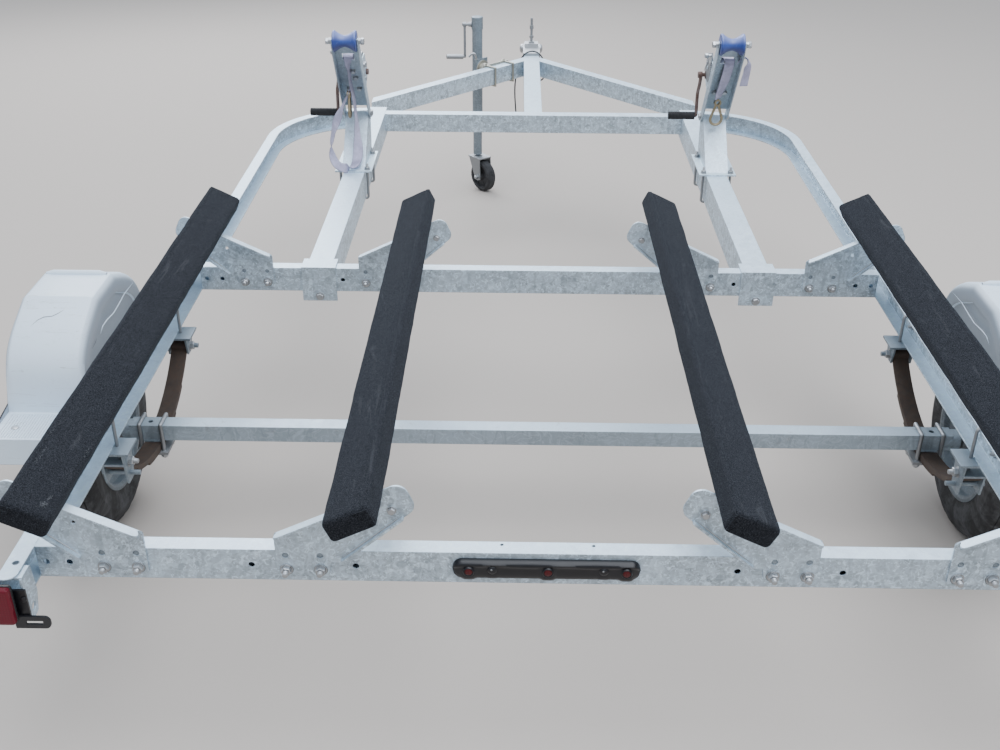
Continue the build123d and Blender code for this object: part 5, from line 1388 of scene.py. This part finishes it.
# -------------------------------------------------------------------- tail lights
k, g = Kit(), Kit()
for sg in (-1, 1):
    x0, x1, y0, y1, z0, z1 = 1043.0, 1160.0, -134.0, -112.0, -94.0, -3.0
    a, b_ = sorted((sg * x0, sg * x1))

    def ring(y, ins, rr):
        out = []
        for cx, cz, w0 in ((b_ - ins - rr, z1 - ins - rr, 0), (a + ins + rr, z1 - ins - rr, 90),
                           (a + ins + rr, z0 + ins + rr, 180), (b_ - ins - rr, z0 + ins + rr, 270)):
            for i in range(6):
                w = math.radians(w0 + 18 * i)
                out.append((cx + rr * math.cos(w), y, cz + rr * math.sin(w)))
        return out

    def stack(kit, rings, cap0=True, cap1=True):
        m = len(rings[0])
        vs = [p for q in rings for p in q]
        fs = []
        for i in range(len(rings) - 1):
            for j in range(m):
                l = (j + 1) % m
                fs.append((i * m + j, i * m + l, (i + 1) * m + l, (i + 1) * m + j))
        if cap0:
            fs.append(tuple(range(m)))
        if cap1:
            fs.append(tuple(range((len(rings) - 1) * m, len(rings) * m))[::-1])
        kit.add(vs, fs)
    stack(k, [ring(y1, 4, 6), ring(y1 - 2, 1, 7), ring(y1 - 7, 0, 7), ring(y1 - 9, 0, 7), ring(y1 - 9.6, 1.0, 6)])
    stack(g, [ring(y1 - 8, 1.6, 5), ring(y1 - 17, 1.8, 5), ring(y1 - 19.8, 2.6, 5), ring(y1 - 21.3, 4.6, 4),
              ring(y1 - 22, 8, 3)])
    # side marker lens on the outer flank
    for zz in (z0 + 18, z1 - 18):
        k.dome((sg * 1102, y1 - 21.9, zz), (0, -1, 0), 3.2, 1.4, 12)
k2 = k
ob = k2.make("tail_light_housings", BLACK, slot="black_plastic")
ob2 = g.make("tail_light_lenses", RED, slot="lens_red")
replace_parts(ob, "tail_lights")
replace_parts(ob2, "tail_lights")

# ----------------------------------------------------------- identification light
LEDS, BOSS = (-158.0, 3.0, 162.0), (-110.0, 116.0)
kit = Kit()
nu = 120
prof = [(0.0, -13.2), (3.0, -13.6), (7.5, -15.0), (12.5, -17.6), (15.0, -20.6), (14.6, -24.0), (13.6, -26.2),
        (13.8, -28.4), (16.0, -31.0), (17.2, -35.0), (17.6, -42.0), (17.0, -50.0), (14.5, -55.0), (8.0, -57.4), (0.0, -58.0)]
verts, faces = [], []
for i in range(nu + 1):
    x = -191.5 + 383.0 * i / nu
    e_ = min(x + 191.5, 191.5 - x)
    q = 1.0 if e_ >= 20 else math.sqrt(max(0.0, 1 - (1 - e_ / 20.0) ** 2))
    q = max(q, 0.02)
    led = max(math.exp(-((x - c) / 15.0) ** 4) for c in LEDS)
    boss = max(math.exp(-((x - c) / 13.0) ** 4) for c in BOSS)
    for y, z in prof:
        low = max(0.0, min(1.0, (-z - 27) / 5))
        yy = y * (0.30 + 0.70 * q) - (5.2 * (1 - led) * (1 - 0.5 * boss) * low if y > 10 else 0)
        dz = 1.6 * led if z < -50 else 0
        wav = 0.9 * math.sin(x * 0.045) if -29 < z < -20 else 0
        verts.append((x, -max(0.0, yy), -35.5 + (z + 35.5 - dz + wav) * q))
m = len(prof)
for i in range(nu):
    for j in range(m - 1):
        faces.append((i * m + j, i * m + j + 1, (i + 1) * m + j + 1, (i + 1) * m + j))
kit.add(verts, faces)
LZ, BZ = -36.0, -33.0
for c in LEDS:
    kit.lathe((c, -13.8, LZ), REAR, [(0, 12.0), (3.0, 11.4), (4.4, 10.0), (4.0, 9.0), (2.6, 8.6)], 28)
for c in BOSS:
    kit.lathe((c, -10.0, BZ), REAR, [(0, 11.0), (3.6, 10.0), (6.0, 8.0), (7.4, 5.0), (7.9, 2.4), (8.0, 0)], 28)
ob = kit.make("identification_light_body", BLACK_SHEET, slot="black_plastic", sharp=50)
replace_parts(ob, "identification_light")
kit = Kit()
for c in LEDS:
    kit.dome((c, -16.2, LZ), REAR, 8.4, 3.0, 24)
kit.make("identification_light_leds", RED_LED, slot="lens_red", sharp=60)
# painted highlight: a tiny pale dot placed off the centre of each boss
kit = Kit()
for c in BOSS:
    kit.dome((c - 1.5, -17.6, BZ + 3.5), REAR, 2.2, 0.5, 12)
kit.make("identification_light_boss_highlights", ZINC_D, slot="zinc_plate")

# -------------------------------------------------- bow stands and winches, details
DRUM, PIN, ROLL = (2405.7, 362.1), (2453.7, 322.1), (2230.0, 487.0)
KY, KZ = KNEE[0] + 14, KNEE[1] - 8
AL = math.hypot(ROLL[0] - KY, ROLL[1] - KZ)
UY, UZ = (ROLL[0] - KY) / AL, (ROLL[1] - KZ) / AL
NY, NZ = UZ, -UY


def arm(x, along, out):
    return (x, KY + UY * along + NY * out, KZ + UZ * along + NZ * out)


UPV, OUTV = (0, UY, UZ), (0, NY, NZ)
INV = (0, -NY, -NZ)
k, d = Kit(), Kit()
for sg in (-1, 1):
    X = sg * SX
    # bolts through the arm's web, heads inside the channel, nuts behind
    for a, dx in ((128, -18), (128, 20), (226, 8), (190, 14)):
        k.head(arm(X + dx, a, 10), INV, 10, start=rnd.random())
        k.nut_end(arm(X + dx, a, 18.2), OUTV, 10, 6, rnd.random())
    # knee bolts on each flange
    for e in (-1, 1):
        k.head((X + e * 48, KY, KZ), (e, 0, 0), 12, start=0.3)
        k.head((X + e * 42, KNEE[0] + 40, KNEE[1] - 24), (e, 0, 0), 10, start=0.6)
    # hex heads on the roller bolt
    for e in (-1, 1):
        k.nut((X + e * 57, *ROLL), (e, 0, 0), 13, start=0.15)
        k.dome((X + e * 62, *ROLL), (e, 0, 0), 8.5, 4.5, 18)
# ratchet pawl, its knob and spring on the left cheek of each winch
for sg in (-1, 1):
    X = sg * SX
    xi = X - 40                           # left cheek of the frame
    s = -1
    pv = arm(xi, 226, 62)
    k.head((xi, pv[1], pv[2]), (s, 0, 0), 11, start=0.2)
    o = (xi + s * 4.2, 0, 0)
    tri = [arm(0, 214, 52), arm(0, 262, 40), arm(0, 286, 58), arm(0, 262, 80), arm(0, 222, 84)]
    poly = [(p[1], p[2]) for p in tri]
    if s > 0:
        d.slab(poly, o, (0, 1, 0), (0, 0, 1), 4.0, 0.6)
    else:
        d.slab([(-a, b) for a, b in poly][::1], o, (0, -1, 0), (0, 0, 1), 4.0, 0.6)
    kp = arm(xi + s * 8, 272, 58)
    k.lathe(kp, (s, 0, 0), [(0, 5), (10, 5), (12, 8), (18, 9.5), (23, 8), (25, 4), (25, 0)], 18)
    # outline of a side plate over the drive pinion, computed but not drawn
    q = [arm(0, 96, 40), arm(0, 176, 30), arm(0, 190, 66), arm(0, 170, 112), arm(0, 118, 118), arm(0, 92, 88)]
    poly = [(p[1], p[2]) for p in q]
    k.washer((xi + s * 1.0, *DRUM), (s, 0, 0), 12)
    # drum shaft's end and the bolts of the right cheek
    k.head((X + 40, *DRUM), (1, 0, 0), 12, start=0.4)
    for a_, o_ in ((212, 52), (150, 40)):
        bp = arm(X + 40, a_, o_)
        k.head(bp, (1, 0, 0), 9, start=rnd.random())
k.make("stand_bolts", ZINC, slot="zinc_plate")
d.make("ratchet_pawls", ZINC, slot="zinc_plate")

# spring of each pawl, a coil between the pawl and the cheek
k = Kit()
for sg in (-1, 1):
    xi = sg * SX - 48
    a, b_ = Vector(arm(xi, 222, 78)), Vector(arm(xi, 150, 96))
    ax, e1, e2 = frame_of(b_ - a)
    ln = (b_ - a).length
    pts = []
    for i in range(0, 181):
        t = i / 180
        w = 2 * math.pi * 13 * t
        pts.append(a + ax * (ln * t) + (e1 * math.cos(w) + e2 * math.sin(w)) * 5.0)
    k.tube(pts, 0.9, 6)
k.make("pawl_springs", ZINC_D, slot="zinc_plate")

# cranks: a rod bent outward from the pinion's shaft, with a ribbed grip turning on its end
for nm, sg in (("left", -1), ("right", 1)):
    k = Kit()
    cx = sg * SX - 66
    py, pz = PIN
    ey, ez = py - 18, pz - 150
    k.lathe((cx + 8, py, pz), (-1, 0, 0), [(0, 7), (0, 11.2), (1, 12), (14, 12), (16, 11), (16, 0)], 26)
    rod = rounded([(cx + 3, py - 2, pz - 6), (cx + 1, py - 4, pz - 34), (cx - 5, py - 8, pz - 66),
                   (cx - 5, ey, ez + 0.01), (cx - 16, ey, ez)], 13, 6)
    k.tube(rod, 6.3, 14)
    k.rod((cx - 10, ey, ez), (cx - 109.5, ey, ez), 6.2)
    k.lathe((sg * SX + 46, py, pz), (-1, 0, 0), [(0, 0), (0, 7.0), (112, 7.0), (112, 0)], 18)
    k.lathe((sg * SX + 40.5, py, pz), (1, 0, 0), [(0, 0), (0, 10.4), (0.8, 11), (8, 11), (9.5, 9.4), (9.5, 0)], 26)
    # the pinion's teeth
    ro, ri, n_ = 2.155 * 6.75, 2.155 * 4.95, 12
    mesh_a = math.atan2(PIN[1] - DRUM[1], PIN[0] - DRUM[0])
    ph = (mesh_a + math.pi) / (2 * math.pi / n_) + 0.5
    teeth = []
    for i in range(n_):
        a_, h_ = 2 * math.pi * (i + ph) / n_, 2 * math.pi / n_
        for f_, r_ in ((-0.32, ri), (-0.16, ro), (0.16, ro), (0.32, ri)):
            teeth.append((r_ * math.cos(a_ + f_ * h_), r_ * math.sin(a_ + f_ * h_)))
    k.slab(teeth, (sg * SX - 48, py, pz), (0, 1, 0), (0, 0, 1), 7.0, 0.3)
    ob = k.make("winch_crank_rod_" + nm, CRANK, "winch_crank_" + nm, "crank_steel")
    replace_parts(ob, "winch_crank_" + nm)
    k = Kit()
    prof = [(0, 7), (0.8, 12.9)]
    t = 2.0
    while t < 94:
        prof += [(t, 14.6), (t + 2.4, 14.6), (t + 3.2, 13.7), (t + 4.4, 13.7)]
        t += 5.4
    prof += [(97, 14.8), (99.6, 13.2), (100.4, 8.0), (100.4, 0)]
    k.lathe((cx - 10, ey, ez), (-1, 0, 0), prof, 24)
    k.make("winch_grip_cover_" + nm, GRIP_M, "winch_crank_" + nm, "crank_steel")

# ---------------------------------------------------------------------------- jack
JX, JY, JTOP = -270.1, 3917.0, 208.0
CRZ, CRX, CRA = JTOP - 36, JX - 62, 158.0
k = Kit()
# cap of the tube, with a pressed rim, and the pull pin's curved handle
k.lathe((JX, JY, JTOP - 4), (0, 0, 1), [(0, 28.4), (3, 28.4), (5.2, 26.8), (6.6, 22), (7.0, 12), (7.0, 0)], 32)
k.make("jack_cap", JACK_M, "jack", "jack_steel")
k = Kit()
k.tube(rounded([(JX - 4, JY - 36, 6), (JX - 3, JY - 50, 24), (JX - 12, JY - 52, 44), (JX - 26, JY - 52, 40), (JX - 40, JY - 50, 26)], 12), 5.0, 12)
k.lathe((JX - 4, JY - 24, -2), (0, -0.8, 0.55), [(-4, 9), (10, 9), (12, 7.5), (12, 0)], 16)
k.make("jack_pull_pin", ZINC, "jack", "jack_steel")
k = Kit()
prof = [(0, 6.4), (0.8, 10.6)]
t = 2.0
while t < 78:
    prof += [(t, 11.4), (t + 2.4, 11.4), (t + 3.2, 10.7), (t + 4.2, 10.7)]
    t += 5.0
prof += [(81, 11.6), (83.4, 10.4), (84.2, 6), (84.2, 0)]
k.lathe((CRX - 8, JY, CRZ - CRA), (-1, 0, 0), prof, 22)
k.make("jack_grip_cover", GRIP_M, "jack", "caster_rubber")
k = Kit()
k.lathe((JX - 27.5, JY, CRZ), (-1, 0, 0), [(0, 15), (2, 15), (3, 12), (16, 11.4)], 24)
k.lathe((CRX - 8, JY, CRZ), (-1, 0, 0), [(0, 9), (3, 8), (4, 5), (4, 0)], 18)
k.make("jack_crank_boss", ZINC_D, "jack", "jack_steel")

# nuts of the jack's U-bolts, outside the mount
BA, BB = (-700.0, 3207.0), (-45.0, 3927.0)
BL = math.hypot(BB[0] - BA[0], BB[1] - BA[1])
BU = ((BB[0] - BA[0]) / BL, (BB[1] - BA[1]) / BL)
BN = (-BU[1], BU[0])


def on_brace(s, dd, z):
    return (BA[0] + BU[0] * s + BN[0] * dd, BA[1] + BU[1] * s + BN[1] * dd, z)


k = Kit()
for s in (745.0, 871.0):
    for z in (5.0, -81.0):
        k.washer(on_brace(s, 32.4, z), (*BN, 0), 10)
        k.nut(on_brace(s, 34.4, z), (*BN, 0), 10, start=rnd.random())
# hook-up hardware under the brace
for s in (712.0, 828.0):
    k.head(on_brace(s, 6, -76), (0, 0, -1), 12, start=rnd.random())
k.make("jack_mount_nuts", YELLOW, slot="yellow_zinc")

# caster: side rings of the tread, hub caps and spindle nut, on the wheel
k = Kit()
cc, ss = math.cos(math.radians(40)), math.sin(math.radians(40))
CCX, CCY, CCZ = JX + 45 * ss, JY - 45 * cc, -589.98
k.lathe((CCX, CCY, CCZ), (cc, ss, 0), [(-13.5, 19), (-13.0, 30), (-12.6, 54.2), (-25.3, 58.3), (-25.5, 62), (-25.2, 69.5)], 40)
k.lathe((CCX, CCY, CCZ), (-cc, -ss, 0), [(-13.5, 19), (-13.0, 30), (-12.6, 54.2), (-25.3, 58.3), (-25.5, 62), (-25.2, 69.5)], 40)
for i in range(6):
    w = math.pi / 3 * i
    for e in (-1, 1):
        p = Vector((CCX, CCY, CCZ)) + Vector((cc, ss, 0)) * (13.2 * e)
        rad = Vector((-ss * math.cos(w), cc * math.cos(w), math.sin(w)))
        k.tube([p + rad * 20, p + rad * 53], 3.0, 8)
k.make("caster_ribs", CASTER_R, "caster_wheel", "caster_rubber")
k = Kit()
for e in (-1, 1):
    p = Vector((CCX, CCY, CCZ)) + Vector((cc, ss, 0)) * (44 * e)
    k.nut(p, (cc * e, ss * e, 0), 11, start=0.2)
    k.dome(p + Vector((cc, ss, 0)) * (9 * e), (cc * e, ss * e, 0), 6, 4, 14)
k.make("caster_spindle_nuts", ZINC, "caster_yoke", "zinc_plate")

# ------------------------------------------------------------------------- coupler
TE = 4100.0
k = Kit()
for e in (-1, 1):
    for dy in (-70, -20):
        k.head((e * 42, TE + dy, -34), (e, 0, 0), 11, start=0.3)
    k.lathe((e * 36, TE + 128, -18), (e, 0, 0), [(0, 22), (6, 24), (14, 23), (20, 18), (23, 9), (23.5, 0)], 24)
k.make("coupler_hardware", ZINC, slot="zinc_plate")

# ------------------------------------------------------------------- bow rollers
for nm, sg in (("left", -1), ("right", 1)):
    k = Kit()
    prof = [(-42.0, 8.6), (-42.0, 33.0), (-41.3, 35.6), (-39.5, 37.2), (-37.0, 37.7), (-34.5, 37.0)]
    for i in range(1, 22):
        x = -34.5 + 69.0 * i / 22
        prof.append((x, 20.5 + 16.6 * abs(x / 34.5) ** 1.75))
    prof += [(34.5, 37.0), (37.0, 37.7), (39.5, 37.2), (41.3, 35.6), (42.0, 33.0), (42.0, 8.6)]
    k.lathe((sg * SX, *ROLL), (1, 0, 0), prof, 48)
    ob = k.make("bow_roller_body_" + nm, BLUE, "bow_roller_" + nm, "blue_roller", 50)
    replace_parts(ob, "bow_roller_" + nm)

# black housings behind the tail lights' inner ends
k = Kit()
for sg in (-1, 1):
    k.block(sg * 1041.5 - 17.5, sg * 1041.5 + 17.5, -107.0, -101.5, -92.0, -24.0, 1.2)
    k.lathe((sg * 1029.5, -107.0, -46), REAR, [(0, 6.5), (3.0, 6.0), (3.6, 4.5), (3.6, 0)], 16)
k.make("tail_light_housings_inner", BLACK_SHEET, slot="black_plastic")


# ---------------------------------------------------- materials on the CAD's own nodes
ON = {
    "rail_left": GALV, "rail_right": GALV, "rear_crossmember": GALV, "middle_crossmember": GALV,
    "front_crossmember": GALV, "longitudinals": GALV, "tongue_tube": GALV, "tongue_braces": GALV,
    "crossmember_saddles": GALV, "coupler": WHITE_ZINC, "coupler_latch": ZINC_D, "axle": AXLE_M,
    "leaf_springs": SPRING_M, "front_spring_hangers": GALV_D, "rear_spring_hangers": GALV_D,
    "axle_clamps": ZINC_D, "fender_left": FENDER, "fender_right": FENDER, "fender_brackets": GALV,
    "rear_bunk_brackets": GALV, "middle_bunk_brackets": GALV, "bow_stand_legs": GALV_B,
    "bow_stand_arms": GALV_ARM, "bow_roller_bolts": ZINC, "bow_roller_left": BLUE,
    "bow_roller_right": BLUE, "winch_frames": CHEEK, "winch_drum_left": ZINC_D,
    "winch_drum_right": ZINC_D, "winch_crank_left": CRANK, "winch_crank_right": CRANK,
    "rim_left": RIM_M, "rim_right": RIM_M, "hub_left": ZINC_D, "hub_right": ZINC_D,
    "jack_mount": YELLOW, "jack_tube": JACK_M, "jack_crank": ZINC_D, "jack_leg": JACK_M,
    "caster_yoke": ZINC_D, "caster_wheel": CASTER_R, "tail_lights": BLACK,
    "tail_light_brackets": BLACK, "identification_light": BLACK_SHEET, "lashing_tabs": GALV,
    "strap_hooks": HOOK, "wiring_grommet": BLACK, "wiring_plug": BLACK,
}
for sub in frame["record"]["subparts"]:
    node = sub["node"]
    o = N[node]
    m = ON.get(node, GALV)
    if not o.material_slots:
        o.data.materials.append(m)
    for sl in o.material_slots:
        sl.material = m

# -------------------------------------------------------------------------- stage
world = bpy.data.worlds.new("studio")
bpy.context.scene.world = world
world.use_nodes = True
wt = world.node_tree
bg = wt.nodes["Background"]
co = wt.nodes.new("ShaderNodeTexCoord")
sep = wt.nodes.new("ShaderNodeSeparateXYZ")
wt.links.new(co.outputs["Generated"], sep.inputs[0])
rp = wt.nodes.new("ShaderNodeValToRGB")
rp.color_ramp.elements[0].position = 0.0
rp.color_ramp.elements[0].color = (0.355, 0.375, 0.40, 1)
rp.color_ramp.elements[1].position = 0.75
rp.color_ramp.elements[1].color = (1.22, 1.36, 1.55, 1)
wt.links.new(sep.outputs["Z"], rp.inputs["Fac"])
wt.links.new(rp.outputs["Color"], bg.inputs["Color"])
bg.inputs["Strength"].default_value = 0.95

me = bpy.data.meshes.new("floor")
s = 14.0
me.from_pydata([(-s, -s, 0), (s, -s, 0), (s, s + 8, 0), (-s, s + 8, 0)], [], [(0, 1, 2, 3)])
floor = bpy.data.objects.new("floor", me)
bpy.context.scene.collection.objects.link(floor)
fm = bpy.data.materials.new("floor")
fm.use_nodes = True
b = fm.node_tree.nodes["Principled BSDF"]
b.inputs["Base Color"].default_value = (0.49, 0.44, 0.395, 1)
b.inputs["Roughness"].default_value = 0.95
me.materials.append(fm)


def area(name, loc, target, size, power, color=(1, 1, 1)):
    d = bpy.data.lights.new(name, "AREA")
    d.energy, d.size, d.color = power, size, color
    o = bpy.data.objects.new(name, d)
    bpy.context.scene.collection.objects.link(o)
    o.location = loc
    o.rotation_euler = (Vector(target) - Vector(loc)).to_track_quat("-Z", "Y").to_euler()
    return o


area("key", (1.5, -2.5, 6.5), (0, 0, 0.3), 6.0, 440, (0.955, 0.99, 1.05))
area("back", (-2.5, 6.0, 5.0), (0, 0.5, 0.3), 5.0, 400, (0.955, 0.99, 1.05))
